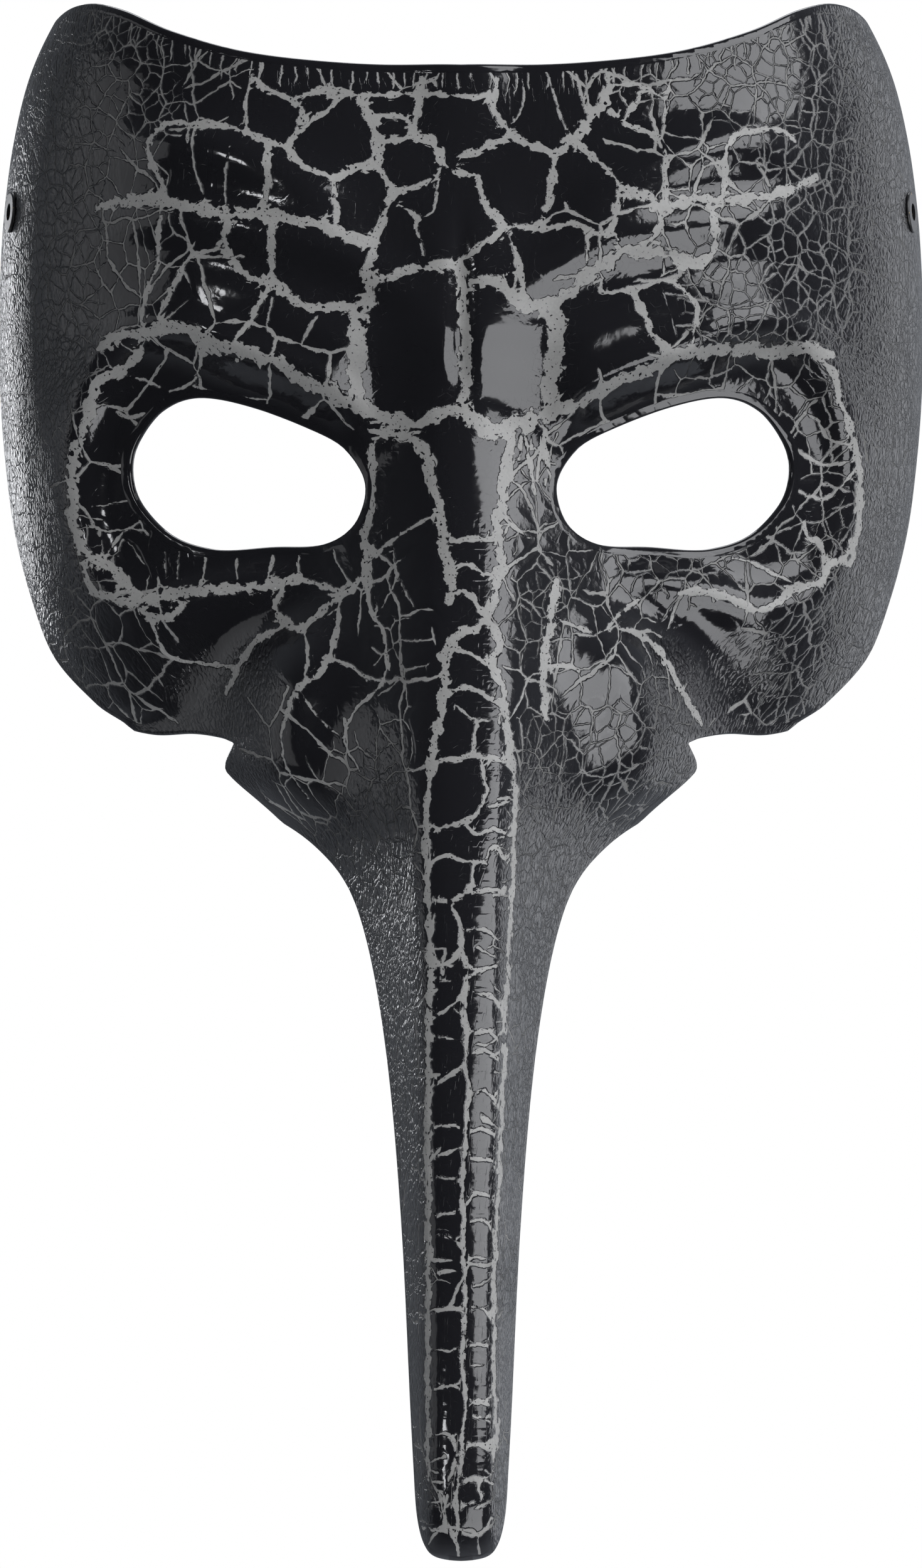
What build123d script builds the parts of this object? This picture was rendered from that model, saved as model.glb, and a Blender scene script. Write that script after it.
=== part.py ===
"""Long-nosed carnival half mask.

A thin vacuum-formed shell with a hollow, drooping nose, foam pads glued inside the brow
and the cheeks, and a flat elastic strap held by an eyelet in each side wall.

Frame, in millimetres: +Z up, the mask looks along -Y, +X is the wearer's left.
The origin lies between the eye openings, where the wearer's face meets the mask.
Heights of the shell are given as "forward", which is -Y.
"""
from build123d import *
import math
import os

import numpy as np

# ---------------------------------------------------------------- driving dimensions
SHELL_THICKNESS = 1.8
WALL_ROUNDNESS = 3.6              # exponent of the temples' superellipse
SADDLE_RADIUS = 5.0               # where the nose grows out of the face
NOSE_CORNER_RADIUS = 1.4          # along both edges of the nose's flat back

SHEET_TOP = 98.0                  # the formed sheet reaches past its trimmed edges
SHEET_BOTTOM = -205.0
SHEET_ROW_PITCH = 3.0
SHEET_COLUMNS_PER_SIDE = 34
SURFACE_TOLERANCE = 0.02
CORNER_MATCH = 0.001
TRIM_DEPTH = 130.0                # the trimming prisms reach past the shell
TRIM_WIDTH = 100.0

EYELET_Z = 52.0
EYELET_FORWARD = -37.0
EYELET_BORE_RADIUS = 1.7
EYELET_BARREL_RADIUS = 2.2
EYELET_HOLE_RADIUS = 2.25
EYELET_FLANGE_RADIUS = 4.0
EYELET_FLANGE_THICKNESS = 0.5
EYELET_ROLL_RADIUS = 0.6
WASHER_RADIUS = 4.2
WASHER_THICKNESS = 0.5

STRAP_WIDTH = 12.0
STRAP_THICKNESS = 1.0
STRAP_TAB_THICKNESS = 2.0         # the end is folded over and stitched
STRAP_TAB_LENGTH = 18.0
STRAP_STRAIGHT = 20.0
STRAP_SIDE_RADIUS = 55.0
STRAP_SIDE_TURN = 72.0            # degrees
STRAP_HOLE_RADIUS = 3.1
STRAP_TOE_IN = 7.0                # degrees, because the temple wall curves inward behind the eyelet
STRAP_GAP = 1.5                   # free play of the tab on the eyelet, each side
STRAP_DROOP = 6.5                 # degrees below the horizontal
STRAP_REACH = 300.0

STRAP_DEPTH = SHELL_THICKNESS + STRAP_GAP + STRAP_TAB_THICKNESS / 2
WASHER_DEPTH = STRAP_DEPTH + STRAP_TAB_THICKNESS / 2 + STRAP_GAP + WASHER_THICKNESS / 2
EYELET_LENGTH = WASHER_DEPTH + WASHER_THICKNESS / 2 + 2 * EYELET_ROLL_RADIUS

PAD_GLUE_GAP = 0.35
PAD_GRID_PITCH = 2.5
PAD_CORNER_RADIUS = 6.0
BROW_PAD = {"centre": (0, 57), "size": (88, 20), "thickness": 5}
CHEEK_PAD = {"centre": (52, -34), "size": (22, 13), "thickness": 4}
EDGE_STEP = 0.5                   # over which the surface's slope is measured

# ---------------------------------------------------------------- curves of the form
# (height z, value) pairs, from the chin up
FACE_HALF_WIDTH = [(-75, 46), (-60, 60), (-50, 70), (-45, 73.5), (-35, 80), (-23, 84.6), (-11, 87.7),
                   (1, 89.6), (13, 90.6), (28, 90.9), (43, 90.4), (55, 89.4), (67, 87.6), (79, 84.6),
                   (90, 80), (100, 75)]
TEMPLE_DEPTH = [(-75, 34), (-50, 38), (-35, 47), (-10, 56), (20, 60), (50, 58), (80, 52), (100, 47)]
FACE_PROFILE = [(-75, -6), (-55, -2), (-40, 1), (-25, 3), (0, 4), (15, 8), (28, 13), (45, 13), (60, 11),
                (75, 7), (92, 1)]
NOSE_RIDGE = [(-206, 117.5), (-190, 115), (-170, 109.5), (-140, 97), (-110, 82), (-80, 65), (-50, 46),
              (-30, 33), (-10, 21.5), (4, 15), (12, 12.5), (30, 9)]
NOSE_BACK_HALF_WIDTH = [(-205, 6.4), (-180, 6.5), (-150, 6.8), (-120, 7.2), (-90, 7.7), (-60, 8), (-30, 8),
                        (0, 7.2), (20, 7)]
NOSE_WALL_SLOPE = [(-205, 5.6), (-180, 5.4), (-146, 4.8), (-111, 3.9), (-83, 2.9), (-71, 2.2), (-60, 1.4),
                   (-45, 1.05), (-20, 0.9), (0, 0.8), (20, 0.8)]

EYE_SOCKET = [(17, 3), (22, 13), (31, 18), (43, 22.5), (54, 27), (64, 26), (71.5, 16), (75, 1), (73.5, -12),
              (68.5, -21.5), (58, -25), (46, -22), (34, -20), (22, -20), (15, -10)]
EYE_OPENING = [(18.7, -2.5), (21.6, 3.3), (27, 7.2), (40, 12.3), (50.6, 14.3), (57.8, 11.8),
               (62.7, 5.5), (63.5, -0.5), (61.3, -6.2), (55.3, -11.9), (47, -14.3), (36, -13.7),
               (26.6, -13.4), (20.7, -9.6)]

# (x, z) of each crest on the wearer's left, then height and half width of the fold
UPPER_WRINKLE = ([(10, 41), (17, 47.5), (28, 53), (40, 59), (49, 62), (59, 62.5), (67, 59)], 3.3, 5.6)
MIDDLE_WRINKLE = ([(8, 26), (13, 36), (24, 42.5), (34, 45), (44, 47), (54, 48.5), (63, 49), (70, 46)],
                  3.3, 5.2)
LOWER_WRINKLE = ([(16, 12), (22, 24), (34, 31), (46, 34.5), (56, 36), (66, 35)], 1.5, 5.0)
FROWN_BULGE = ([(9.5, 42), (10.2, 36), (10.6, 30), (10.4, 24), (10, 18)], 4.2, 8.0)
NOSTRIL_WING = ([(29, -30), (32, -37), (34.5, -45), (35.5, -53), (33, -60), (28, -67), (22, -75)], 7.4, 9)
CHEEK_HOLLOW = ([(44, -30), (48, -36), (51, -42), (53, -50)], 3.2, 7.5)

# trimmed edge seen from the front: (x, z) on the wearer's left
TOP_EDGE = [(0, 77.8), (22, 78.5), (41, 80.8), (55.5, 85.2), (65.5, 90), (72.8, 91.9), (78.8, 90.2), (84, 84),
            (90, 74)]
CHEEK_EDGE = [(84, -32), (76, -42), (68, -47.6), (60, -50), (52, -49.8), (46.5, -50.6), (43.9, -51.6)]
WING_EDGE = [(43.9, -51.6), (45.6, -55.8), (44.2, -58.6), (36.2, -65.6), (31, -71), (28, -76)]
TIP_EDGE = [(16, -184), (9.4, -193.5), (8, -197.4), (4.8, -200.4), (0, -201.2)]
# trimmed edge seen from the side: (forward, z)
REAR_EDGE = [(-24, 98), (-36, 91), (-44, 80), (-48.5, 66), (-50, 45), (-50, 20), (-48, 0), (-44, -18),
             (-36, -33), (-24, -44), (-14, -53), (0, -62), (14, -71), (30, -83), (55, -111), (79, -146),
             (97, -180), (104, -195), (108, -206)]


# ---------------------------------------------------------------- small mathematics
def smooth(t):
    t = np.clip(t, 0, 1)
    return t * t * (3 - 2 * t)


def along(points, z):
    """Smooth value at height z through the (z, value) points."""
    keys, values = np.array(points, float).T
    rise = np.diff(values) / np.diff(keys)
    slope = np.concatenate([[rise[0]], (rise[:-1] + rise[1:]) / 2, [rise[-1]]])
    turning = rise[:-1] * rise[1:] <= 0
    slope[1:-1][turning] = 0
    i = np.clip(np.searchsorted(keys, z) - 1, 0, len(keys) - 2)
    span = keys[i + 1] - keys[i]
    t = np.clip((z - keys[i]) / span, 0, 1)
    start = values[i] * (1 + 2 * t) + span * slope[i] * t
    end = values[i + 1] * (3 - 2 * t) - span * slope[i + 1] * (1 - t)
    return start * (1 - t) ** 2 + end * t ** 2


def blended_max(a, b, radius):
    """The larger of two heights, rounded where they cross."""
    share = np.clip(0.5 + 0.5 * (a - b) / radius, 0, 1)
    return b + (a - b) * share + radius * share * (1 - share)


def softened_ramp(t, radius):
    """0 before t = 0 and t after it, with a rounded corner."""
    return 0.5 * (t + np.sqrt(t * t + radius * radius))


def curve_through(points, steps, closed=False):
    """Points of a smooth curve through the given points."""
    p = np.array(points, float)
    if closed:
        p = np.vstack([p[-1], p, p[0], p[1]])
    else:
        p = np.vstack([2 * p[0] - p[1], p, 2 * p[-1] - p[-2]])
    t = np.linspace(0, 1, steps, endpoint=False)[:, None]
    spans = [0.5 * (2 * b + (c - a) * t + (2 * a - 5 * b + 4 * c - d) * t ** 2
                    + (3 * b - a - 3 * c + d) * t ** 3)
             for a, b, c, d in zip(p, p[1:], p[2:], p[3:])]
    return np.vstack(spans + [p[-2:-1]]) if not closed else np.vstack(spans)


def distance_to_loop(x, z, loop):
    """Distance to a closed curve, negative inside it."""
    distance = np.full(np.shape(x), 1e9)
    inside = np.zeros(np.shape(x), bool)
    for (x0, z0), (x1, z1) in zip(loop, np.roll(loop, -1, axis=0)):
        dx, dz = x1 - x0, z1 - z0
        t = np.clip(((x - x0) * dx + (z - z0) * dz) / (dx * dx + dz * dz), 0, 1)
        distance = np.minimum(distance, np.hypot(x - x0 - t * dx, z - z0 - t * dz))
        crosses = ((z0 > z) != (z1 > z)) & (x < dx * (z - z0) / (dz + 1e-12) + x0)
        inside ^= crosses
    return np.where(inside, -distance, distance)


def fold(x, z, crest, height, half_width, lead_in=0.25, lead_out=0.3):
    """A rounded fold along a crest, fading at both ends."""
    sharpness = 5
    line = curve_through(crest, 6)
    total = 0
    for i, (cx, cz) in enumerate(line):
        t = i / (len(line) - 1)
        fade = smooth(t / lead_in) * smooth((1 - t) / lead_out)
        reach = ((x - cx) ** 2 + (z - cz) ** 2) / half_width ** 2
        total = total + (height * fade * np.exp(-reach)) ** sharpness
    pitch = np.mean(np.hypot(*np.diff(line, axis=0).T))
    overlap = half_width * math.sqrt(math.pi / sharpness) / pitch
    return (total / max(overlap, 1)) ** (1 / sharpness)


# ---------------------------------------------------------------- form of the mask
def face_form(x, z):
    """Forehead, temples, eye sockets and cheeks."""
    reach = np.clip(x / along(FACE_HALF_WIDTH, z), 0, 1)
    forward = -along(TEMPLE_DEPTH, z) * (1 - np.sqrt(1 - reach ** WALL_ROUNDNESS))
    middle = np.exp(-(x / 62) ** 4)
    forward = forward + along(FACE_PROFILE, z) * (0.35 + 0.65 * middle)

    rim = distance_to_loop(x, z, curve_through(EYE_SOCKET, 6, closed=True))
    brow = smooth((z + 8) / 20)
    forward = forward - (3.2 + 1.8 * brow) * smooth((3 - rim) / 11)
    away_from_nose = smooth((x - 14) / 12)
    overhang = 1.2 * smooth((z - 5) / 20) * smooth((70 - x) / 15)
    forward = forward + away_from_nose * (1.6 + overhang) * np.exp(-((rim - 0.5) / 3.8) ** 2)
    forward = forward + away_from_nose * 1.2 * np.exp(-((rim - 1.5) / 7) ** 2)

    for wrinkle in (UPPER_WRINKLE, MIDDLE_WRINKLE, LOWER_WRINKLE):
        forward = forward + fold(x, z, *wrinkle)
    forward = forward + fold(x, z, *FROWN_BULGE, lead_in=0.3, lead_out=0.02)
    forward = forward - fold(x, z, *CHEEK_HOLLOW, lead_in=0.3, lead_out=0.02)
    crease = np.exp(-(x / 2.4) ** 2) * smooth((z - 6) / 8) * smooth((50 - z) / 14)
    return forward - 1.6 * crease


def nose_form(x, z):
    """The long nose: a flat, narrow back between two steep walls."""
    half_width = along(NOSE_BACK_HALF_WIDTH, z)
    past_edge = softened_ramp(x - half_width, NOSE_CORNER_RADIUS)
    past_edge = past_edge - softened_ramp(-half_width, NOSE_CORNER_RADIUS)
    crown = 0.016 * np.minimum(x, half_width) ** 2
    tip = 12 * np.clip((-186 - z) / 15, 0, 1.3) ** 3
    return along(NOSE_RIDGE, z) - along(NOSE_WALL_SLOPE, z) * past_edge - crown - tip


def mask_forward(x, z):
    """How far the shell's outer face stands forward at (x, z)."""
    x = np.abs(x)
    chin_gap = 34 * smooth((-44 - z) / 15)
    forward = blended_max(face_form(x, z) - chin_gap, nose_form(x, z), SADDLE_RADIUS)
    return forward + fold(x, z, *NOSTRIL_WING, lead_in=0.2, lead_out=0.5)


def sheet_half_width(z):
    """Half width of the formed sheet before it is trimmed."""
    narrow = [(-206, 12), (-180, 12.5), (-146, 14.5), (-111, 18), (-95, 21.5), (-83, 26), (-76, 31),
              (-71, 36.5), (-66, 43), (-61, 51), (-56, 60), (-50, 70), (-45, 73.5)]
    return np.where(z > -45, along(FACE_HALF_WIDTH, z), along(narrow, z))


def outer_points():
    """Grid of points on the outer face, rows from the tip up."""
    heights = np.linspace(SHEET_BOTTOM, SHEET_TOP, int((SHEET_TOP - SHEET_BOTTOM) / SHEET_ROW_PITCH) + 1)
    across = np.sin(np.linspace(-1, 1, 2 * SHEET_COLUMNS_PER_SIDE + 1) * math.pi / 2)
    z, share = np.meshgrid(heights, across, indexing="ij")
    x = share * sheet_half_width(z)
    return np.stack([x, -mask_forward(x, z), z], axis=-1)


def moved_inward(points, distance):
    """The grid moved along its own normals, away from the viewer of the outer face."""
    along_row = np.gradient(points, axis=1)
    up = np.gradient(points, axis=0)
    normal = np.cross(up, along_row)
    normal /= np.linalg.norm(normal, axis=-1, keepdims=True)
    return points + normal * distance


def surface(points):
    rows = [[tuple(map(float, p)) for p in row] for row in points]
    return Face.make_surface_from_array_of_points(rows, tol=SURFACE_TOLERANCE)


def border(face, corner_a, corner_b):
    """The face's edge from corner_a to corner_b, in that direction."""
    for edge in face.edges():
        if (edge @ 0 - corner_a).length < CORNER_MATCH and (edge @ 1 - corner_b).length < CORNER_MATCH:
            return edge
        if (edge @ 1 - corner_a).length < CORNER_MATCH and (edge @ 0 - corner_b).length < CORNER_MATCH:
            return edge.reversed()


def closed_between(front_points, back_points):
    """Solid between two grids of points of the same shape."""
    front, back = surface(front_points), surface(back_points)
    corners = [(0, 0), (0, -1), (-1, -1), (-1, 0)]
    walls = []
    for a, b in zip(corners, corners[1:] + corners[:1]):
        edges = [border(face, Vector(*points[a]), Vector(*points[b]))
                 for face, points in ((front, front_points), (back, back_points))]
        walls.append(Face.make_surface_from_curves(*edges))
    return Solid(Shell([front, back] + walls))


# ---------------------------------------------------------------- shell
def facing_front(sketch, depth=TRIM_DEPTH):
    """A drawing in (x, z), extruded through the whole mask along Y."""
    plane = Plane(origin=(0, depth, 0), x_dir=(1, 0, 0), z_dir=(0, -1, 0))
    return extrude(plane * sketch, 2 * depth)


def facing_side(sketch):
    """A drawing in (forward, z), extruded through the whole mask along X."""
    plane = Plane(origin=(TRIM_WIDTH, 0, 0), x_dir=(0, -1, 0), z_dir=(-1, 0, 0))
    return extrude(plane * sketch, 2 * TRIM_WIDTH)


def front_outline():
    top, cheek = TOP_EDGE[-1], CHEEK_EDGE[0]
    temple = Polyline(top, (TRIM_WIDTH, top[1]), (TRIM_WIDTH, cheek[1]), cheek)
    nose_side = Polyline(WING_EDGE[-1], (WING_EDGE[-1][0], TIP_EDGE[0][1]), TIP_EDGE[0])
    half = [Spline(*TOP_EDGE), temple, Spline(*CHEEK_EDGE), Spline(*WING_EDGE), nose_side, Spline(*TIP_EDGE)]
    edges = [edge for line in half for edge in line.edges()]
    return make_face(edges + [mirror(edge, Plane.YZ) for edge in edges])


def side_outline():
    top, bottom = REAR_EDGE[0], REAR_EDGE[-1]
    front = Polyline(bottom, (TRIM_DEPTH, bottom[1]), (TRIM_DEPTH, top[1]), top)
    return make_face(Spline(*REAR_EDGE).edges() + front.edges())


def eye_outlines():
    eye = make_face(Spline(*EYE_OPENING, periodic=True).edges())
    return Sketch() + [eye, mirror(eye, Plane.YZ)]


def slope(x, z):
    """The outer face's slope across and up at (x, z)."""
    across = mask_forward(x + EDGE_STEP, z) - mask_forward(x - EDGE_STEP, z)
    up = mask_forward(x, z + EDGE_STEP) - mask_forward(x, z - EDGE_STEP)
    return across / (2 * EDGE_STEP), up / (2 * EDGE_STEP)


def mask_shell(eyelet_planes):
    outer = outer_points()
    sheet = closed_between(outer, moved_inward(outer, SHELL_THICKNESS))
    trimmed = sheet & facing_front(front_outline()) & facing_side(side_outline())
    opened = trimmed - facing_front(eye_outlines())
    for plane in eyelet_planes.values():
        opened -= plane * Cylinder(EYELET_HOLE_RADIUS, 2 * EYELET_LENGTH)
    return opened


# ---------------------------------------------------------------- eyelets
def eyelet_plane(side):
    """Plane on the outer face of the temple wall, its Z axis pointing out of the wall."""
    x = np.linspace(60, along(FACE_HALF_WIDTH, EYELET_Z), 2000)
    at = float(np.interp(-EYELET_FORWARD, -mask_forward(x, EYELET_Z), x))
    across, up = slope(at, EYELET_Z)
    outward = Vector(-side * float(across), -1, -float(up))
    rearward = outward.cross(Vector(0, 0, 1))
    return Plane(origin=(side * at, -EYELET_FORWARD, EYELET_Z), x_dir=rearward, z_dir=outward)


def eyelet():
    """Flange on the outside, barrel through the wall, and a roll that holds the washer."""
    flange = Cylinder(EYELET_FLANGE_RADIUS, EYELET_FLANGE_THICKNESS)
    flange = Pos(0, 0, EYELET_FLANGE_THICKNESS / 2) * flange
    rim = flange.edges().filter_by(GeomType.CIRCLE).group_by(Axis.Z)[-1]
    flange = fillet(rim, EYELET_FLANGE_THICKNESS * 0.8)
    barrel = Pos(0, 0, -EYELET_LENGTH / 2) * Cylinder(EYELET_BARREL_RADIUS, EYELET_LENGTH)
    roll = Pos(0, 0, EYELET_ROLL_RADIUS - EYELET_LENGTH) * Torus(EYELET_BARREL_RADIUS, EYELET_ROLL_RADIUS)
    bore = Pos(0, 0, -EYELET_LENGTH / 2) * Cylinder(EYELET_BORE_RADIUS, 2 * EYELET_LENGTH)
    return flange + barrel + roll - bore


def washer():
    disc = Cylinder(WASHER_RADIUS, WASHER_THICKNESS) - Cylinder(EYELET_HOLE_RADIUS, 2 * WASHER_THICKNESS)
    return Pos(0, 0, -WASHER_DEPTH) * disc


# ---------------------------------------------------------------- elastic strap
def strap_line(start, direction, offset):
    """Half of the strap's path in plan: straight tab, then two arcs round the back of the head."""
    side = direction.rotate(Axis.Z, 90)
    tab = Line(start + side * offset, start + direction * STRAP_STRAIGHT + side * offset)
    turn = JernArc(tab @ 1, tab % 1, STRAP_SIDE_RADIUS - offset, STRAP_SIDE_TURN)
    heading = math.degrees(math.atan2((turn % 1).Y, (turn % 1).X))
    back_radius = (turn @ 1).X / math.sin(math.radians(180 - heading))
    back = JernArc(turn @ 1, turn % 1, back_radius, 180 - heading)
    return [tab, turn, back]


def elastic_strap(planes):
    plane = planes["left"]
    hole = plane.origin - plane.z_dir * STRAP_DEPTH
    backward = Vector(-plane.z_dir.Y, plane.z_dir.X, 0).normalized().rotate(Axis.Z, STRAP_TOE_IN)
    start = Vector(hole.X, hole.Y, 0) - backward * (STRAP_WIDTH / 2)
    outer = strap_line(start, backward, -STRAP_THICKNESS / 2)
    inner = strap_line(start, backward, STRAP_THICKNESS / 2)
    ends = [Line(outer[0] @ 0, inner[0] @ 0), Line(outer[-1] @ 1, inner[-1] @ 1)]
    band = make_face([line.edge() for line in outer + inner + ends])
    tab_plane = Plane(origin=start, x_dir=backward, z_dir=(0, 0, 1))
    tab = tab_plane * Pos(STRAP_TAB_LENGTH / 2, 0) * Rectangle(STRAP_TAB_LENGTH, STRAP_TAB_THICKNESS)
    half = extrude(band + tab, STRAP_WIDTH / 2, both=True)
    strap = half + mirror(half, Plane.YZ)
    rearward = Pos(-STRAP_REACH / 2, 0) * Rectangle(STRAP_REACH, STRAP_WIDTH)
    strap &= facing_side(Pos(-hole.Y, 0) * (Circle(STRAP_WIDTH / 2) + rearward))
    hinge = Axis((0, hole.Y, 0), (1, 0, 0))
    strap = Pos(0, 0, hole.Z) * strap.rotate(hinge, -STRAP_DROOP)
    for plane in planes.values():
        strap -= plane * Pos(0, 0, -STRAP_DEPTH) * Cylinder(STRAP_HOLE_RADIUS, 2 * STRAP_TAB_THICKNESS)
    return strap


# ---------------------------------------------------------------- foam pads
def inside_forward(x, z):
    """How far forward a pad may reach behind the shell."""
    across, up = slope(x, z)
    return mask_forward(x, z) - (SHELL_THICKNESS + PAD_GLUE_GAP) * np.sqrt(1 + across ** 2 + up ** 2)


def pad(centre, size, thickness):
    """A foam slab with rounded corners: it fills the form in front and is smooth behind."""
    half = [side / 2 + PAD_GRID_PITCH for side in size]
    counts = [int(2 * side / PAD_GRID_PITCH) for side in half]
    x, z = np.meshgrid(centre[0] + np.linspace(-half[0], half[0], counts[0]),
                       centre[1] + np.linspace(-half[1], half[1], counts[1]))
    front = inside_forward(x, z)
    terms = np.stack([np.ones(x.size), x.ravel(), z.ravel(), x.ravel() ** 2, z.ravel() ** 2], axis=1)
    even = (terms @ np.linalg.lstsq(terms, front.ravel(), rcond=None)[0]).reshape(x.shape)
    back = even - (even - front).max() - thickness
    slab = closed_between(np.stack([x, -front, z], axis=-1), np.stack([x, -back, z], axis=-1))
    return slab & facing_front(Pos(*centre) * RectangleRounded(*size, PAD_CORNER_RADIUS))


# ---------------------------------------------------------------- assembly
def main():
    os.makedirs("parts", exist_ok=True)
    sides = {"left": 1, "right": -1}
    planes = {name: eyelet_plane(side) for name, side in sides.items()}
    nodes = {"mask_shell": mask_shell(planes), "elastic_strap": elastic_strap(planes)}
    nodes["brow_pad"] = pad(**BROW_PAD)
    for name, side in sides.items():
        nodes[f"eyelet_{name}"] = planes[name] * eyelet()
        nodes[f"washer_{name}"] = planes[name] * washer()
        cheek = dict(CHEEK_PAD, centre=(side * CHEEK_PAD["centre"][0], CHEEK_PAD["centre"][1]))
        nodes[f"cheek_pad_{name}"] = pad(**cheek)
    for name, shape in nodes.items():
        export_step(shape, f"parts/{name}.step")


main()
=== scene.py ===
"""Looks of the long-nosed carnival half mask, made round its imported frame.

Lengths are in millimetres up to the moment a mesh is made, and (x, z) is the front view.
The mask is a finer mesh that carries the crackled lacquer. It repeats the curves of the CAD
shell, with the frown bulges, the crease between them, the start of the upper wrinkle and the
nose's crown redrawn. The pads and the strap with its stitching replace plain CAD solids.
"""
import math

import bpy
import numpy as np
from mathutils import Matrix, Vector


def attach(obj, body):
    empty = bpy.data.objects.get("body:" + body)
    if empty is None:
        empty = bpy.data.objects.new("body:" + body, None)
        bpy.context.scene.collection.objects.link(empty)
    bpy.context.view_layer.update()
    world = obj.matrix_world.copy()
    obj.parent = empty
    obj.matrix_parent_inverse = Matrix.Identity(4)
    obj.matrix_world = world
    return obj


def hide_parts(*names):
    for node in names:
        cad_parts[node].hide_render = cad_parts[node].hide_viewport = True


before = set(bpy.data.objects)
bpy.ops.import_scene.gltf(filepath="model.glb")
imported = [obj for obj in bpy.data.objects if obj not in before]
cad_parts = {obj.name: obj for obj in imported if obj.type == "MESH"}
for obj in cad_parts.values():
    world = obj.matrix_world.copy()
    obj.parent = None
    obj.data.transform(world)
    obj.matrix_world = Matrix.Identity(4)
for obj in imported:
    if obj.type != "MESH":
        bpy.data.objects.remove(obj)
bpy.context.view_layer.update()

MM = 0.001

# ---------------------------------------------------------------- form of the shell
# curves are (z, value) points, outlines are (x, z) points of one half, but (forward, z) for REAR_EDGE,
# and a fold is the points of its crest, its height and its half width
SHELL_THICKNESS = 1.8
WALL_ROUNDNESS = 3.6
SADDLE_RADIUS = 5.0
NOSE_CORNER_RADIUS = 1.4
NOSE_CROWN = 0.034                # fall of the nose's back, in mm for each mm squared from its middle
EYELET_HOLE_RADIUS = 2.25

FACE_HALF_WIDTH = [(-75, 46), (-60, 60), (-50, 70), (-45, 73.5), (-35, 80), (-23, 84.6), (-11, 87.7),
                   (1, 89.6), (13, 90.6), (28, 90.9), (43, 90.4), (55, 89.4), (67, 87.6), (79, 84.6),
                   (90, 80), (100, 75)]
TEMPLE_DEPTH = [(-75, 34), (-50, 38), (-35, 47), (-10, 56), (20, 60), (50, 58), (80, 52), (100, 47)]
FACE_PROFILE = [(-75, -6), (-55, -2), (-40, 1), (-25, 3), (0, 4), (15, 8), (28, 13), (45, 13), (60, 11),
                (75, 7), (92, 1)]
PROFILE_HALF_WIDTH = 62           # how far to the side the middle's profile carries
PROFILE_AT_SIDE = 0.35            # the share of it that is left there
NOSE_RIDGE = [(-206, 117.5), (-190, 115), (-170, 109.5), (-140, 97), (-110, 82), (-80, 65), (-50, 46),
              (-30, 33), (-10, 21.5), (4, 15), (12, 12.5), (30, 9)]
NOSE_BACK_HALF_WIDTH = [(-205, 6.4), (-180, 6.5), (-150, 6.8), (-120, 7.2), (-90, 7.7), (-60, 8),
                        (-30, 8), (0, 7.2), (20, 7)]
NOSE_WALL_SLOPE = [(-205, 5.6), (-180, 5.4), (-146, 4.8), (-111, 3.9), (-83, 2.9), (-71, 2.2), (-60, 1.4),
                   (-45, 1.05), (-20, 0.9), (0, 0.8), (20, 0.8)]
EYE_SOCKET = [(17, 3), (22, 13), (31, 18), (43, 22.5), (54, 27), (64, 26), (71.5, 16), (75, 1),
              (73.5, -12), (68.5, -21.5), (58, -25), (46, -22), (34, -20), (22, -20), (15, -10)]
EYE_OPENING = [(18.7, -2.5), (21.6, 3.3), (27, 7.2), (40, 12.3), (50.6, 14.3), (57.8, 11.8),
               (62.7, 5.5), (63.5, -0.5), (61.3, -6.2), (55.3, -11.9), (47, -14.3), (36, -13.7),
               (26.6, -13.4), (20.7, -9.6)]
UPPER_WRINKLE = ([(17, 47), (28, 53), (40, 59), (49, 62), (59, 62.5), (67, 59)], 3.3, 5.6)
MIDDLE_WRINKLE = ([(8, 26), (13, 36), (24, 42.5), (34, 45), (44, 47), (54, 48.5), (63, 49), (70, 46)],
                  3.3, 5.2)
LOWER_WRINKLE = ([(16, 12), (22, 24), (34, 31), (46, 34.5), (56, 36), (66, 35)], 1.5, 5.0)
FROWN_BULGE = ([(3.6, 49), (3, 43), (2.6, 36), (2.4, 30), (2.4, 24), (2.6, 18)], 3.8, 9)
FROWN_CREASE = (1.7, 1.3)         # half width and depth, in the middle between the bulges
NOSTRIL_WING = ([(29, -30), (32, -37), (34.5, -45), (35.5, -53), (33, -60), (28, -67), (22, -75)], 7.4, 9)
CHEEK_HOLLOW = ([(44, -30), (48, -36), (51, -42), (53, -50)], 3.2, 7.5)
SHEET_HALF_WIDTH = [(-206, 12), (-180, 12.5), (-146, 14.5), (-111, 18), (-95, 21.5), (-83, 26), (-76, 31),
                    (-71, 36.5), (-66, 43), (-61, 51), (-56, 60), (-50, 70), (-45, 73.5)]
TOP_EDGE = [(0, 77.8), (22, 78.5), (41, 80.8), (55.5, 85.2), (65.5, 90), (72.8, 91.9), (78.8, 90.2),
            (84, 84), (90, 74)]
CHEEK_EDGE = [(84, -32), (76, -42), (68, -47.6), (60, -50), (52, -49.8), (46.5, -50.6), (43.9, -51.6)]
WING_EDGE = [(43.9, -51.6), (45.6, -55.8), (44.2, -58.6), (36.2, -65.6), (31, -71), (28, -76)]
TIP_EDGE = [(16, -184), (9.4, -193.5), (8, -197.4), (4.8, -200.4), (0, -201.2)]
REAR_EDGE = [(-24, 98), (-36, 91), (-44, 80), (-48.5, 66), (-50, 45), (-50, 20), (-48, 0), (-44, -18),
             (-36, -33), (-24, -44), (-14, -53), (0, -62), (14, -71), (30, -83), (55, -111), (79, -146),
             (97, -180), (104, -195), (108, -206)]

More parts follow.
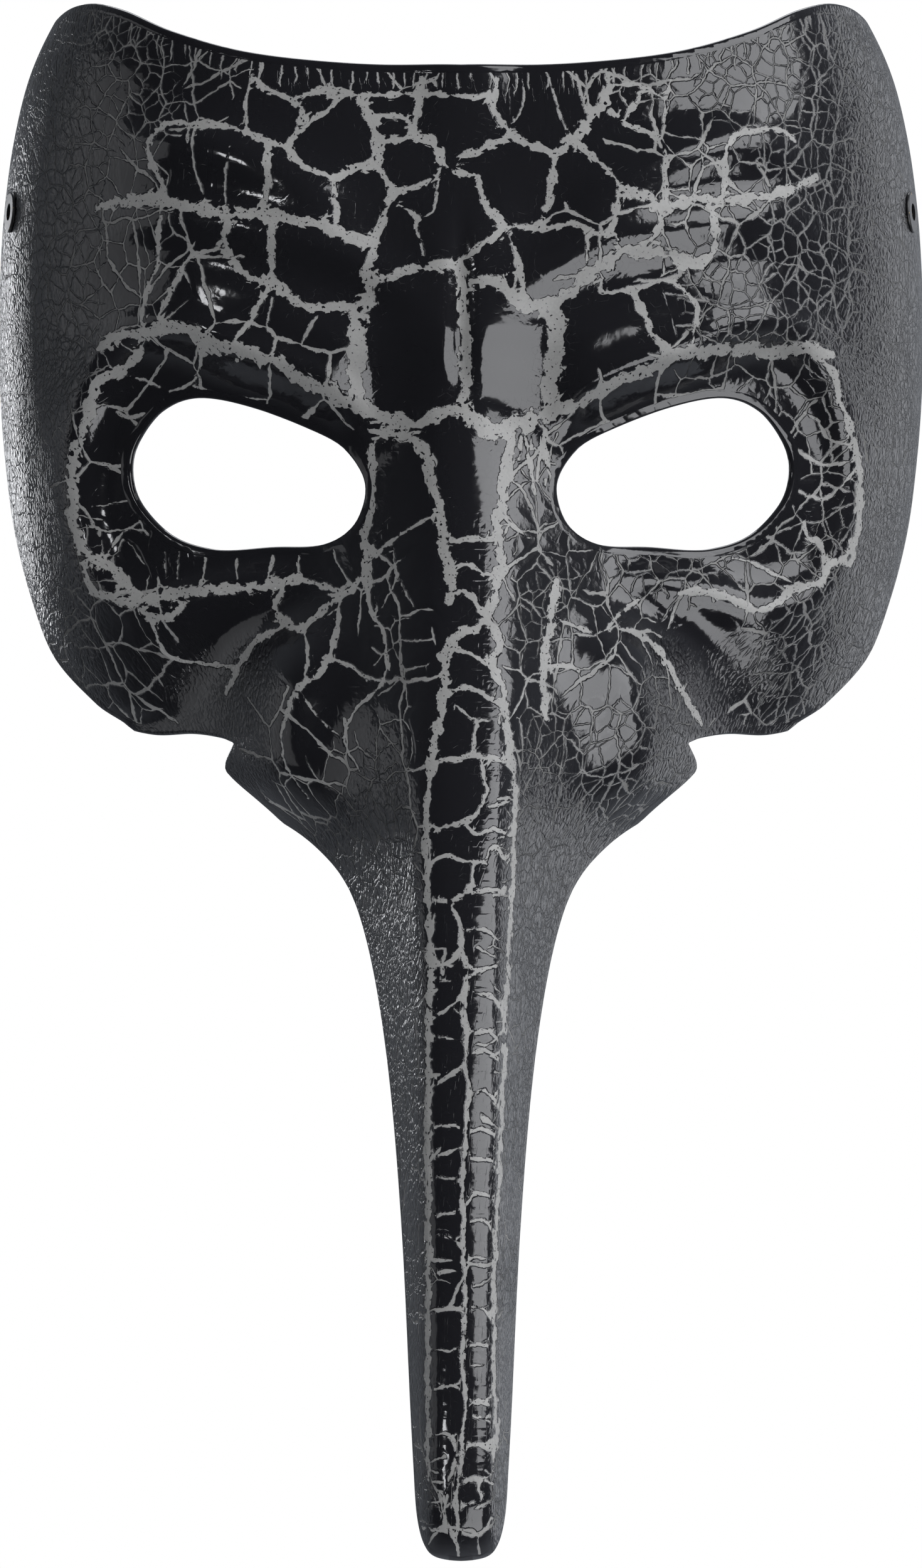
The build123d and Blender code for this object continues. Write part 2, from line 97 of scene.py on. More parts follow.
# the finer mesh
ROWS_ON_FACE = 172
ROWS_ON_NOSE = 84
NOSE_STARTS = -76.0
LOWEST_ROW = -203.0
HIGHEST_ROW = 95.0
COLUMNS = 203
RIM_BULGE = 0.62                  # how far the rolled edge stands past the trimmed line
RIM_STEPS = 6

# ---------------------------------------------------------------- the wide cracks, drawn one by one
# (half width, points (x, z)); -x is the wearer's right, on the left of the front view
FOREHEAD_CRACKS = [
    (1.3, [(-70, 51), (-62, 52.5), (-56, 51.5), (-50, 50.5), (-44, 49), (-38, 49), (-32, 48), (-26, 46.5),
           (-20, 44.5), (-16, 43.5)]),
    (0.7, [(-16, 43.5), (-14, 50), (-12, 54)]),
    (0.8, [(-40, 76), (-37, 73), (-32, 71), (-30, 69), (-31, 65)]),
    (0.8, [(-31, 65), (-33, 61.5), (-30, 58), (-24, 55.5)]),
    (0.8, [(-24, 55.5), (-23.5, 47)]),
    (1.1, [(-24, 55.5), (-20, 57.5), (-16, 58.5), (-16, 63), (-17, 67), (-20, 72)]),
    (1.0, [(-20, 72), (-25, 73), (-30, 72)]),
    (0.6, [(-22, 72), (-27, 68), (-31, 64.5)]),
    (1.1, [(-16, 63), (-9, 64), (-5, 62), (-3, 58)]),
    (0.9, [(-3, 58), (0, 57), (3, 56)]),
    (0.9, [(-9, 64), (-8, 70), (-7.5, 75)]),
    (0.7, [(-20, 72), (-14, 72), (-8, 72), (0, 71.5), (5, 72), (7, 75)]),
    (0.6, [(-17, 68), (-12, 68), (-9, 66)]),
    (0.8, [(-16, 58.5), (-13, 54), (-9, 54), (-5, 56)]),
    (0.7, [(-13, 54), (-15, 49), (-17, 44)]),
    (0.5, [(-12, 51), (-9, 49), (-8, 45), (-7, 41)]),
    (0.4, [(-4, 56), (-5, 50), (-8, 48)]),
    (0.9, [(-56, 67), (-50, 66.5), (-44, 66), (-38, 63.5), (-33, 61.5)]),
    (0.8, [(-56, 67), (-60, 63), (-58, 57), (-56, 52)]),
    (0.8, [(-37, 63), (-36.5, 58), (-37, 52), (-38, 49)]),
    (0.5, [(-40, 75), (-41, 70), (-41, 66)]),
    (0.4, [(-51, 66), (-51, 60), (-49, 52)]),
    (0.35, [(-44, 62), (-45, 56), (-45, 50)]),
    (1.0, [(-16, 44), (-18, 38), (-17, 32), (-19, 30)]),
    (1.7, [(-20, 30), (-20, 22), (-19.5, 14)]),
    (1.0, [(-44, 49), (-45, 43), (-40, 37), (-36, 36.5), (-30, 31.5), (-22, 31.5), (-18, 32)]),
    (0.9, [(-36, 49), (-36, 42), (-36, 36.5)]),
    (0.8, [(-36, 36), (-40, 29), (-43, 25)]),
    (0.7, [(-45, 43), (-52, 41), (-54, 37), (-58, 30)]),
    (0.6, [(-57, 52), (-58, 46), (-58, 40), (-60, 35), (-61, 29)]),
    (1.2, [(0, 40), (0.5, 30), (1, 20), (0.5, 12.5)]),
    (1.0, [(-17, 36), (-10, 38), (-4, 39), (0, 38)]),
    (1.1, [(3, 56), (5, 50), (9, 46.5)]),
    (0.9, [(9, 46.5), (4, 43), (2, 41)]),
    (0.8, [(9, 46.5), (16, 46), (22, 47), (26, 45), (29, 47), (30, 54)]),
    (1.1, [(30, 54), (36, 52), (38, 50), (44, 52), (50, 51.5), (57, 52.5), (62, 54), (68, 57)]),
    (0.8, [(9, 46), (11, 40), (12, 34), (14, 31.5)]),
    (1.3, [(2, 36), (7, 36), (11, 32), (14, 31), (19, 33), (24, 37), (27, 39), (31, 42), (38, 41.5),
           (42, 40.5), (46, 39)]),
    (1.6, [(14, 31), (18, 29), (18, 22), (17, 14), (17, 11)]),
    (0.9, [(15.5, 47), (17, 53), (18, 60)]),
    (1.0, [(18, 60.5), (12, 63), (9, 64), (3, 61), (0, 60)]),
    (1.1, [(18, 60), (22, 64), (25, 68), (27, 70), (28, 76)]),
    (0.9, [(22, 63), (26, 59), (30, 55)]),
    (0.9, [(7, 75), (6, 70), (9, 65)]),
    (0.3, [(12, 75), (12, 70), (10, 66)]),
    (0.35, [(17, 75), (19, 68), (20, 65)]),
    (0.6, [(22, 76), (24, 69)]),
    (0.7, [(28, 70), (31, 66.5), (37, 64), (39, 58), (39, 50)]),
    (0.8, [(31, 67), (34, 71.5)]),
    (0.5, [(28, 74), (34, 74), (38, 72)]),
    (0.5, [(39, 71), (38.5, 64)]),
    (0.6, [(40, 75), (39, 70)]),
    (0.6, [(44, 52), (46, 58), (50, 59)]),
    (0.7, [(50, 52), (50.5, 58), (52, 64), (60, 66), (64, 64)]),
    (0.4, [(46, 59), (46, 63)]),
    (0.9, [(38, 50), (37, 45), (35, 43)]),
    (0.9, [(48, 50), (48, 42), (44, 40)]),
    (0.6, [(24, 40), (24, 45)]),
    (0.5, [(29, 46), (31, 42)]),
    (0.6, [(27, 38), (27, 34), (33, 35), (40, 36), (45, 31), (44, 24)]),
    (0.9, [(33, 34), (37, 26), (39, 24), (39, 21)]),
    (1.6, [(0, 12.5), (5, 8), (10, 9), (16, 11), (22, 13)]),
    (1.2, [(10, 8), (9, 3), (8, -4)]),
]
LEFT_EYE_CRACKS = [
    (1.4, [(-70, 24), (-66, 26), (-58, 27.5), (-52, 27), (-48, 24.5), (-42, 23), (-36, 21), (-32, 18.5),
           (-26, 15.5), (-20, 12.5), (-14, 10.5), (-8, 9)]),
    (1.4, [(-8, 9), (-4, 11), (0, 12.5)]),
    (1.1, [(-17, 8), (-12, 7), (-9, 6), (-6, 2), (-5, -4)]),
    (1.2, [(-61, 24), (-65, 20), (-70, 17), (-72, 11), (-74, 5), (-75, 0), (-75, -5), (-74, -12),
           (-71, -16), (-67, -18), (-64, -21), (-62, -23)]),
    (0.9, [(-73, -17), (-71, -22), (-68, -24)]),
    (1.2, [(-70, -23), (-62, -24.5), (-55, -23), (-48, -22), (-40, -22), (-34, -21), (-30, -20.5)]),
    (0.8, [(-30, -20.5), (-25, -22), (-22, -23.5), (-20, -22), (-18, -19)]),
    (1.0, [(-62, -25), (-60, -27), (-55, -27), (-53, -25)]),
    (0.5, [(-60, -27), (-58, -32), (-56, -35), (-50, -36), (-43, -37)]),
    (0.9, [(-34, -21), (-35, -26), (-33, -29), (-30, -30), (-27, -27), (-23, -24)]),
    (0.8, [(-33, -29), (-37, -31), (-40, -33), (-43, -38), (-45, -42)]),
    (0.5, [(-30, -30), (-29, -35), (-29.5, -40)]),
    (0.7, [(-23, -25), (-24, -32), (-26, -38), (-31, -41), (-33, -46), (-34, -50)]),
    (0.5, [(-26, -35.5), (-21, -37), (-18, -40)]),
    (0.6, [(-18, -20), (-17, -27), (-15, -30), (-14, -36), (-15, -41), (-20, -45)]),
    (1.0, [(-17, 5), (-17, -6), (-18, -12), (-18, -18), (-17, -22)]),
    (0.5, [(-18, -18), (-13, -13), (-6, -9)]),
    (0.6, [(-67, 13), (-64, 11), (-60, 12)]),
    (0.5, [(-69, 2), (-64, 2)]),
    (0.3, [(-71, -6), (-65, -5), (-62, -4)]),
    (0.5, [(-68, -15), (-65, -11), (-60, -8)]),
    (0.35, [(-57, -15), (-57, -20)]),
    (0.4, [(-54, -15), (-54.5, -20)]),
    (0.4, [(-49, -15), (-49.5, -20.5)]),
    (0.45, [(-43, -15), (-43, -21)]),
    (0.5, [(-36, -15), (-37, -21)]),
    (0.6, [(-31, -15), (-31, -20)]),
    (0.5, [(-66, 20), (-62, 18.5), (-58, 17)]),
    (0.5, [(-50, 24), (-50, 20), (-52, 17), (-56, 16)]),
    (0.3, [(-52, 17), (-45, 15), (-36, 14)]),
    (0.4, [(-13, -14), (-12, -20), (-9, -26)]),
    (0.35, [(-12, -20), (-15, -26)]),
    (0.4, [(-34, -50), (-33, -56), (-29, -62)]),
    (0.4, [(-20, -45), (-22, -51), (-19, -57)]),
    (0.4, [(-31, -41), (-27, -47), (-23, -50)]),
]
RIGHT_EYE_CRACKS = [
    (1.3, [(22, 13), (28, 16), (33, 18.5), (38, 20), (41, 22.5), (48, 23), (54, 24), (60, 23), (66, 24),
           (71, 23)]),
    (0.9, [(66, 24), (69, 22), (72, 19), (73, 14), (75.5, 8), (76, 4), (77, 0), (77, -4), (76, -12),
           (74, -16), (71, -17), (69, -21), (65, -21.5), (61, -24.5), (57, -26), (53, -24.5), (46, -22.5),
           (42, -23)]),
    (0.5, [(64, -21), (60, -19), (56, -17), (52, -16)]),
    (0.8, [(71, -17), (75, -17), (76, -15)]),
    (0.5, [(76, 1), (71, -4), (67, -4), (64, -2.5)]),
    (0.8, [(66, -9), (67, -12), (69, -13), (70, -17)]),
    (0.5, [(76, 6), (71, 7), (69, 10), (66, 12)]),
    (0.5, [(75, 3), (70, 2), (66, 4)]),
    (0.6, [(28, -30), (30, -27), (34, -24)]),
    (0.8, [(30, -30), (34, -31), (37, -33), (39, -36), (41, -39), (43, -43), (46, -48)]),
    (1.0, [(18, -21), (17, -28), (16, -34), (15.5, -40), (16, -47)]),
    (0.5, [(17, -28), (22, -29.5), (26, -31)]),
    (0.6, [(16, -37), (20, -37), (22, -38)]),
    (0.6, [(12, 8), (13, 3), (14, -4)]),
    (0.8, [(16, 8), (16, 3), (18, -4)]),
    (0.5, [(8, -9), (13, -13)]),
]
NOSE_CRACKS = [
    (1.1, [(-8, 6), (-6, 0), (-5, -4), (-4, -8), (-3.5, -13), (-2.5, -18), (-2, -22), (-2.2, -25)]),
    (0.6, [(-1.5, -22.5), (2, -24), (3.5, -27), (5, -28.5)]),
    (1.0, [(5, -28.5), (3, -30), (0, -31), (-2, -33), (-3.2, -35), (-3.2, -37.5), (-3.4, -42), (-3.8, -46),
           (-4.6, -49.5), (-5, -53), (-5.5, -56), (-6.1, -60)]),
    (0.75, [(-6.1, -60), (-6.4, -67), (-6.4, -73), (-6.2, -79), (-5.8, -85), (-5.6, -91), (-5.8, -99),
            (-6, -110), (-6, -125), (-6, -140), (-6, -155)]),
    (0.5, [(-6, -155), (-6, -170), (-6, -185)]),
    (1.0, [(9.5, 4), (8, -0.5), (8, -7), (6.8, -9), (7.1, -13), (7.7, -18), (6.8, -21.5), (6.5, -25),
           (5, -28.5)]),
    (0.9, [(5, -28.5), (7.1, -33), (5.9, -37), (7.7, -41), (8.3, -45), (8.9, -49.5), (9.2, -54),
           (9.8, -57)]),
    (0.45, [(9.8, -57), (10, -61), (9.8, -73), (9.5, -79), (8.9, -88), (8.8, -95), (8, -101), (8, -110),
            (7.5, -120), (6.9, -132), (6.3, -142), (6, -150), (6, -165), (6.3, -175), (5.7, -183)]),
    (0.5, [(-3.5, -14), (2, -13), (7, -13.5)]),
    (0.5, [(-2.5, -19), (1.5, -18), (4, -19.5), (7.5, -20)]),
    (0.35, [(-2, -34), (2, -35), (5.5, -37)]),
    (0.5, [(-3.4, -42), (-1, -41.5), (2, -41.3), (5, -43), (8, -45)]),
    (0.25, [(-1, -44.5), (2, -47), (6, -47.5)]),
    (0.55, [(-5, -54.5), (-2, -55), (0.5, -54.5), (4, -54), (7.7, -55.2), (9.8, -57)]),
    (0.3, [(2.3, -54), (2.6, -50.5), (3.2, -47)]),
    (0.5, [(3.5, -54.5), (4.7, -59.5), (4.7, -61.5), (2.9, -65), (0.5, -66.5), (-3.7, -67.5), (-6, -67)]),
    (0.3, [(4.7, -63.5), (9, -62.5)]),
    (0.35, [(0.5, -66.5), (2.9, -68.7), (6.5, -67.5), (9.8, -69.5)]),
    (0.35, [(-6.1, -74), (-3.1, -72.5), (0.5, -73.5), (4.7, -74)]),
    (0.3, [(4.7, -74), (5.6, -71), (7.1, -71.5), (8.9, -74.5)]),
    (0.45, [(2.3, -74.3), (1.7, -78.5), (-1.9, -81), (-5.5, -81)]),
    (0.35, [(1.7, -79.5), (6.5, -79), (9.5, -80.5)]),
    (0.4, [(-1.9, -81.5), (-0.1, -85.5), (0.2, -89.5), (-2, -92), (-5, -93)]),
    (0.3, [(0.5, -86.5), (4, -86.3), (7, -88.5)]),
    (0.4, [(0.2, -90), (1.7, -93.5), (6.5, -93)]),
    (0.45, [(0.8, -94.5), (0.5, -98), (-3.1, -101), (-5.5, -102)]),
    (0.2, [(-5.5, -96), (-2, -95.5)]),
    (0.35, [(0.9, -98), (1.1, -105), (0.9, -111), (1.7, -115.5), (1.1, -119.5), (0.9, -124.5), (0.3, -130),
            (0.3, -137), (0.6, -143), (0.6, -150.5), (0.9, -155), (0.3, -160.5), (0.6, -167), (0.9, -172.6),
            (0.3, -177), (0, -181.5), (-0.6, -186), (-1.1, -189.5)]),
    (0.2, [(-5.4, -106), (0.9, -106.3)]),
    (0.5, [(-5.4, -115), (-1.1, -112), (0.9, -110.7)]),
    (0.3, [(-5.4, -122.5), (-3.4, -121.8), (0.9, -122.4)]),
    (0.3, [(-5.4, -127.5), (-2.9, -127), (0.6, -125.8)]),
    (0.25, [(-5.2, -131), (-1.7, -131.5), (0.3, -130.3)]),
    (0.3, [(-4.9, -138.5), (-2.9, -137.5), (0, -137.5)]),
    (0.3, [(-5.4, -142), (-2.9, -141.8), (0, -143)]),
    (0.3, [(-5.2, -148.5), (-2.3, -148), (0.3, -148.2)]),
    (0.35, [(-5.2, -155), (-1.7, -154.5), (0.6, -154.5)]),
    (0.25, [(-5.2, -161.8), (-1.7, -162), (0.6, -161)]),
    (0.3, [(-5.4, -169.3), (-1.7, -168.4), (0.3, -169.3)]),
    (0.25, [(-5.7, -177), (-1.7, -177), (-1.1, -180), (0, -180.5)]),
    (0.3, [(-5.7, -185.5), (-2.3, -185), (-1.1, -182), (0.3, -181)]),
    (0.25, [(-6, -189), (-3.4, -188.7), (-2.3, -186.5)]),
    (0.3, [(-6.9, -194), (-1.7, -194.5), (-0.6, -197.5), (-0.3, -199.8)]),
    (0.3, [(-0.6, -194), (1.7, -195), (4, -194.5), (5.7, -192)]),
    (0.3, [(1.7, -97.5), (5.7, -98.5), (7.5, -100.8)]),
    (0.4, [(0, -101.5), (1.7, -104.8), (5.2, -104.8), (7.5, -107)]),
    (0.4, [(1.1, -109), (4.6, -108.3), (7.5, -110.5)]),
    (0.35, [(1.7, -116), (4.6, -115.5), (6.9, -118.7)]),
    (0.35, [(0.9, -124), (3.4, -122.5), (6.3, -124), (7.2, -125)]),
    (0.3, [(0.9, -128), (3.4, -128), (6.9, -128.5)]),
    (0.3, [(0.9, -136), (2.3, -134.3), (4, -134.3), (5.7, -134.8)]),
    (0.3, [(0.9, -139.3), (4, -139), (5.7, -141)]),
    (0.3, [(0.9, -146.5), (2.3, -145.7), (5.2, -145.7)]),
    (0.35, [(0.9, -154), (4, -154.7), (5.5, -156.7)]),
    (0.3, [(0.6, -161.2), (4, -161.2), (5.7, -162)]),
    (0.25, [(0.9, -164.7), (4, -164.7)]),
    (0.35, [(0.9, -172.7), (2.9, -171), (5.7, -172)]),
    (0.3, [(0.9, -173.3), (5.2, -175), (6, -176.7)]),
    (0.4, [(0, -180), (2.9, -178.7), (5.7, -179.2)]),
    (0.3, [(-1.1, -186), (2.3, -184.7), (5.7, -186)]),
    (0.3, [(0.3, -189.5), (3.4, -188.5), (2.9, -186)]),
    (0.3, [(-2.3, -187), (-2.9, -191.5), (-1.7, -194.5)]),
    (0.35, [(-0.6, -188.5), (-0.6, -194)]),
]
THINNER, WIDER = 0.5, 0.28        # narrow cracks are drawn narrower still, wide ones wider
NOSE_LEAST, NOSE_SHARE = 0.12, 0.7  # on the nose the widths are closer to each other
CRACKS = [(width * (THINNER + WIDER * width), line)
          for width, line in FOREHEAD_CRACKS + LEFT_EYE_CRACKS + RIGHT_EYE_CRACKS]
CRACKS += [(NOSE_LEAST + NOSE_SHARE * width, line) for width, line in NOSE_CRACKS]

# (x, z, size of the small cells round there): between the spots the size is blended, and NO_CELLS
# leaves only the wide cracks
NO_CELLS = 30
CELL_SIZES = [
    (0, 66, NO_CELLS), (-20, 64, NO_CELLS), (20, 62, NO_CELLS), (0, 50, NO_CELLS), (-8, 25, NO_CELLS),
    (8, 25, NO_CELLS), (-30, 40, NO_CELLS), (28, 28, NO_CELLS), (-45, 58, NO_CELLS), (-33, 56, NO_CELLS),
    (-35, 27, 12), (26, 44, 10), (46, 55, 6), (52, 46, 5), (36, 46, 8), (-48, 33, 9), (50, 36, 2.6),
    (-63, 42, 5), (-60, 34, 4.5), (62, 44, 3), (-64, 58, 4.5), (-62, 70, 3), (62, 68, 3), (-50, 76, 4),
    (-34, 66, NO_CELLS), (50, 74, 3.6), (36, 72, 4.5), (30, 61, 12), (-76, 60, 2.2), (73, 60, 2.4),
    (-74, 40, 2.6), (72, 38, 2.6), (-84, 20, 1.8), (84, 20, 1.8), (-80, -10, 2), (80, -10, 1.9),
    (-70, 82, 2.4), (70, 82, 2.3), (0, 75, 12), (-20, 76, 12), (20, 75, 12), (-52, 20, 9), (-30, 15, 12),
    (52, 19, 4), (32, 15, 9), (-70, 0, 12), (71, 0, 5), (-45, -18, NO_CELLS), (42, -18, 3.4),
    (60, -20, 4), (-12, -3, NO_CELLS), (-12, -20, 14), (-10, -36, 3.4), (14, -8, 4.5), (13, -28, 3),
    (0, -197, 12), (-25, -38, NO_CELLS), (-33, -48, 9), (-27, -58, 7), (-21, -68, 3.4), (25, -35, 6),
    (35, -45, 3.4), (28, -60, 2.8), (-48, -36, NO_CELLS), (-62, -36, 5), (-70, -28, 4),
    (48, -35, NO_CELLS), (62, -38, 2.6), (70, -28, 2.6), (22, -48, 3.4),
]
CELL_SIZES += [(0, z, NO_CELLS) for z in range(0, -200, -20)]
NOSE_WALL_CELLS = [(16, -60, 3), (15, -78, 2), (13, -95, 1.7), (12, -120, 1.6), (11, -150, 1.5),
                   (10, -185, 1.5)]
CELL_SIZES += [(side * x, z, size) for x, z, size in NOSE_WALL_CELLS for side in (-1, 1)]
CELL_REACH = 7.0                  # how far a spot's size carries

# ---------------------------------------------------------------- small mathematics
def smooth(t):
    t = np.clip(t, 0, 1)
    return t * t * (3 - 2 * t)


def along(points, z):
    """Smooth value at height z through the (z, value) points."""
    keys, values = np.array(points, float).T
    rise = np.diff(values) / np.diff(keys)
    slope = np.concatenate([[rise[0]], (rise[:-1] + rise[1:]) / 2, [rise[-1]]])
    turning = rise[:-1] * rise[1:] <= 0
    slope[1:-1][turning] = 0
    i = np.clip(np.searchsorted(keys, z) - 1, 0, len(keys) - 2)
    span = keys[i + 1] - keys[i]
    t = np.clip((z - keys[i]) / span, 0, 1)
    start = values[i] * (1 + 2 * t) + span * slope[i] * t
    end = values[i + 1] * (3 - 2 * t) - span * slope[i + 1] * (1 - t)
    return start * (1 - t) ** 2 + end * t ** 2


def blended_max(a, b, radius):
    """The larger of two heights, rounded where they cross."""
    share = np.clip(0.5 + 0.5 * (a - b) / radius, 0, 1)
    return b + (a - b) * share + radius * share * (1 - share)


def softened_ramp(t, radius):
    """0 before t = 0 and t after it, with a rounded corner."""
    return 0.5 * (t + np.sqrt(t * t + radius * radius))


def curve_through(points, steps, closed=False):
    """Points of a smooth curve through the given points."""
    p = np.array(points, float)
    if closed:
        p = np.vstack([p[-1], p, p[0], p[1]])
    else:
        p = np.vstack([2 * p[0] - p[1], p, 2 * p[-1] - p[-2]])
    t = np.linspace(0, 1, steps, endpoint=False)[:, None]
    spans = [0.5 * (2 * b + (c - a) * t + (2 * a - 5 * b + 4 * c - d) * t ** 2
                    + (3 * b - a - 3 * c + d) * t ** 3)
             for a, b, c, d in zip(p, p[1:], p[2:], p[3:])]
    return np.vstack(spans + [p[-2:-1]]) if not closed else np.vstack(spans)


def distance_to_loop(x, z, loop):
    """Distance to a closed curve, negative inside it."""
    distance = np.full(np.shape(x), 1e9)
    inside = np.zeros(np.shape(x), bool)
    for (x0, z0), (x1, z1) in zip(loop, np.roll(loop, -1, axis=0)):
        dx, dz = x1 - x0, z1 - z0
        t = np.clip(((x - x0) * dx + (z - z0) * dz) / (dx * dx + dz * dz + 1e-12), 0, 1)
        distance = np.minimum(distance, np.hypot(x - x0 - t * dx, z - z0 - t * dz))
        crosses = ((z0 > z) != (z1 > z)) & (x < dx * (z - z0) / (dz + 1e-12) + x0)
        inside ^= crosses
    return np.where(inside, -distance, distance)


def fold(x, z, crest, height, half_width, lead_in=0.25, lead_out=0.3):
    """A rounded fold along a crest, fading at both ends."""
    sharpness = 5
    line = curve_through(crest, 6)
    total = 0
    for i, (cx, cz) in enumerate(line):
        t = i / (len(line) - 1)
        fade = smooth(t / lead_in) * smooth((1 - t) / lead_out)
        reach = ((x - cx) ** 2 + (z - cz) ** 2) / half_width ** 2
        total = total + (height * fade * np.exp(-reach)) ** sharpness
    pitch = np.mean(np.hypot(*np.diff(line, axis=0).T))
    overlap = half_width * math.sqrt(math.pi / sharpness) / pitch
    return (total / max(overlap, 1)) ** (1 / sharpness)


# ---------------------------------------------------------------- form of the mask
def face_form(x, z):
    """Forehead, temples, eye sockets and cheeks."""
    reach = np.clip(x / along(FACE_HALF_WIDTH, z), 0, 1)
    forward = -along(TEMPLE_DEPTH, z) * (1 - np.sqrt(1 - reach ** WALL_ROUNDNESS))
    middle = np.exp(-(x / PROFILE_HALF_WIDTH) ** 4)
    forward = forward + along(FACE_PROFILE, z) * (PROFILE_AT_SIDE + (1 - PROFILE_AT_SIDE) * middle)

    rim = distance_to_loop(x, z, curve_through(EYE_SOCKET, 6, closed=True))
    under_brow = smooth((z + 8) / 20)
    socket_depth = 3.2 + 1.8 * under_brow
    forward = forward - socket_depth * smooth((3 - rim) / 11)
    away_from_nose = smooth((x - 14) / 12)
    overhang = 1.2 * smooth((z - 5) / 20) * smooth((70 - x) / 15)
    ring_height = 1.6 + overhang
    forward = forward + away_from_nose * ring_height * np.exp(-((rim - 0.5) / 3.8) ** 2)
    ring_foot_height = 1.2
    forward = forward + away_from_nose * ring_foot_height * np.exp(-((rim - 1.5) / 7) ** 2)

    for wrinkle in (UPPER_WRINKLE, MIDDLE_WRINKLE, LOWER_WRINKLE):
        forward = forward + fold(x, z, *wrinkle)
    forward = forward + fold(x, z, *FROWN_BULGE, lead_in=0.22, lead_out=0.02)
    forward = forward - fold(x, z, *CHEEK_HOLLOW, lead_in=0.3, lead_out=0.02)
    crease_half_width, crease_depth = FROWN_CREASE
    crease = np.exp(-(x / crease_half_width) ** 2) * smooth((z - 6) / 8) * smooth((50 - z) / 14)
    return forward - crease_depth * crease


def nose_form(x, z):
    """The long nose: a flat, narrow back between two steep walls."""
    half_width = along(NOSE_BACK_HALF_WIDTH, z)
    past_edge = softened_ramp(x - half_width, NOSE_CORNER_RADIUS)
    past_edge = past_edge - softened_ramp(-half_width, NOSE_CORNER_RADIUS)
    crown = NOSE_CROWN * np.minimum(x, half_width) ** 2
    tip = 12 * np.clip((-186 - z) / 15, 0, 1.3) ** 3
    return along(NOSE_RIDGE, z) - along(NOSE_WALL_SLOPE, z) * past_edge - crown - tip


def mask_forward(x, z):
    """How far the shell's outer face stands forward at (x, z)."""
    x = np.abs(x)
    chin_gap = 34 * smooth((-44 - z) / 15)
    forward = blended_max(face_form(x, z) - chin_gap, nose_form(x, z), SADDLE_RADIUS)
    return forward + fold(x, z, *NOSTRIL_WING, lead_in=0.2, lead_out=0.5)


def mask_point(u, z):
    """Point of the outer face: u runs from -1 to 1 across the sheet, closer together at its sides."""
    share = (4 * u - u * np.abs(u) ** 3) / 3
    half_width = np.where(z > -45, along(FACE_HALF_WIDTH, z), along(SHEET_HALF_WIDTH, z))
    x = share * half_width
    return np.stack([x, -mask_forward(x, z), z], axis=-1)


# ---------------------------------------------------------------- trimming a formed sheet
def front_loop():
    """The trimmed outline seen from the front, closed and mirrored."""
    half = np.vstack([curve_through(TOP_EDGE, 8), [(100, 74), (100, -32)], curve_through(CHEEK_EDGE, 8),
                      curve_through(WING_EDGE, 8), [(28, -184)], curve_through(TIP_EDGE, 10)])
    return np.vstack([half, (half * (-1, 1))[::-1]])


def side_loop():
    """The trimmed outline seen from the side, in (forward, z)."""
    return np.vstack([curve_through(REAR_EDGE, 5), [(140, -210), (140, 120), (-24, 120)]])


def inside_mask(points, eyelet_axes):
    """Distance to the nearest trimmed edge, positive on the part that is kept."""
    x, forward, z = np.abs(points[:, 0]), -points[:, 1], points[:, 2]
    kept = -distance_to_loop(points[:, 0], z, front_loop())
    kept = np.minimum(kept, -distance_to_loop(forward, z, side_loop()))
    kept = np.minimum(kept, distance_to_loop(x, z, curve_through(EYE_OPENING, 8, closed=True)))
    kept = kept - RIM_BULGE
    for centre, axis in eyelet_axes:
        off = points - centre
        from_axis = np.linalg.norm(off - (off @ axis)[:, None] * axis, axis=1)
        kept = np.minimum(kept, from_axis - EYELET_HOLE_RADIUS)
    return kept


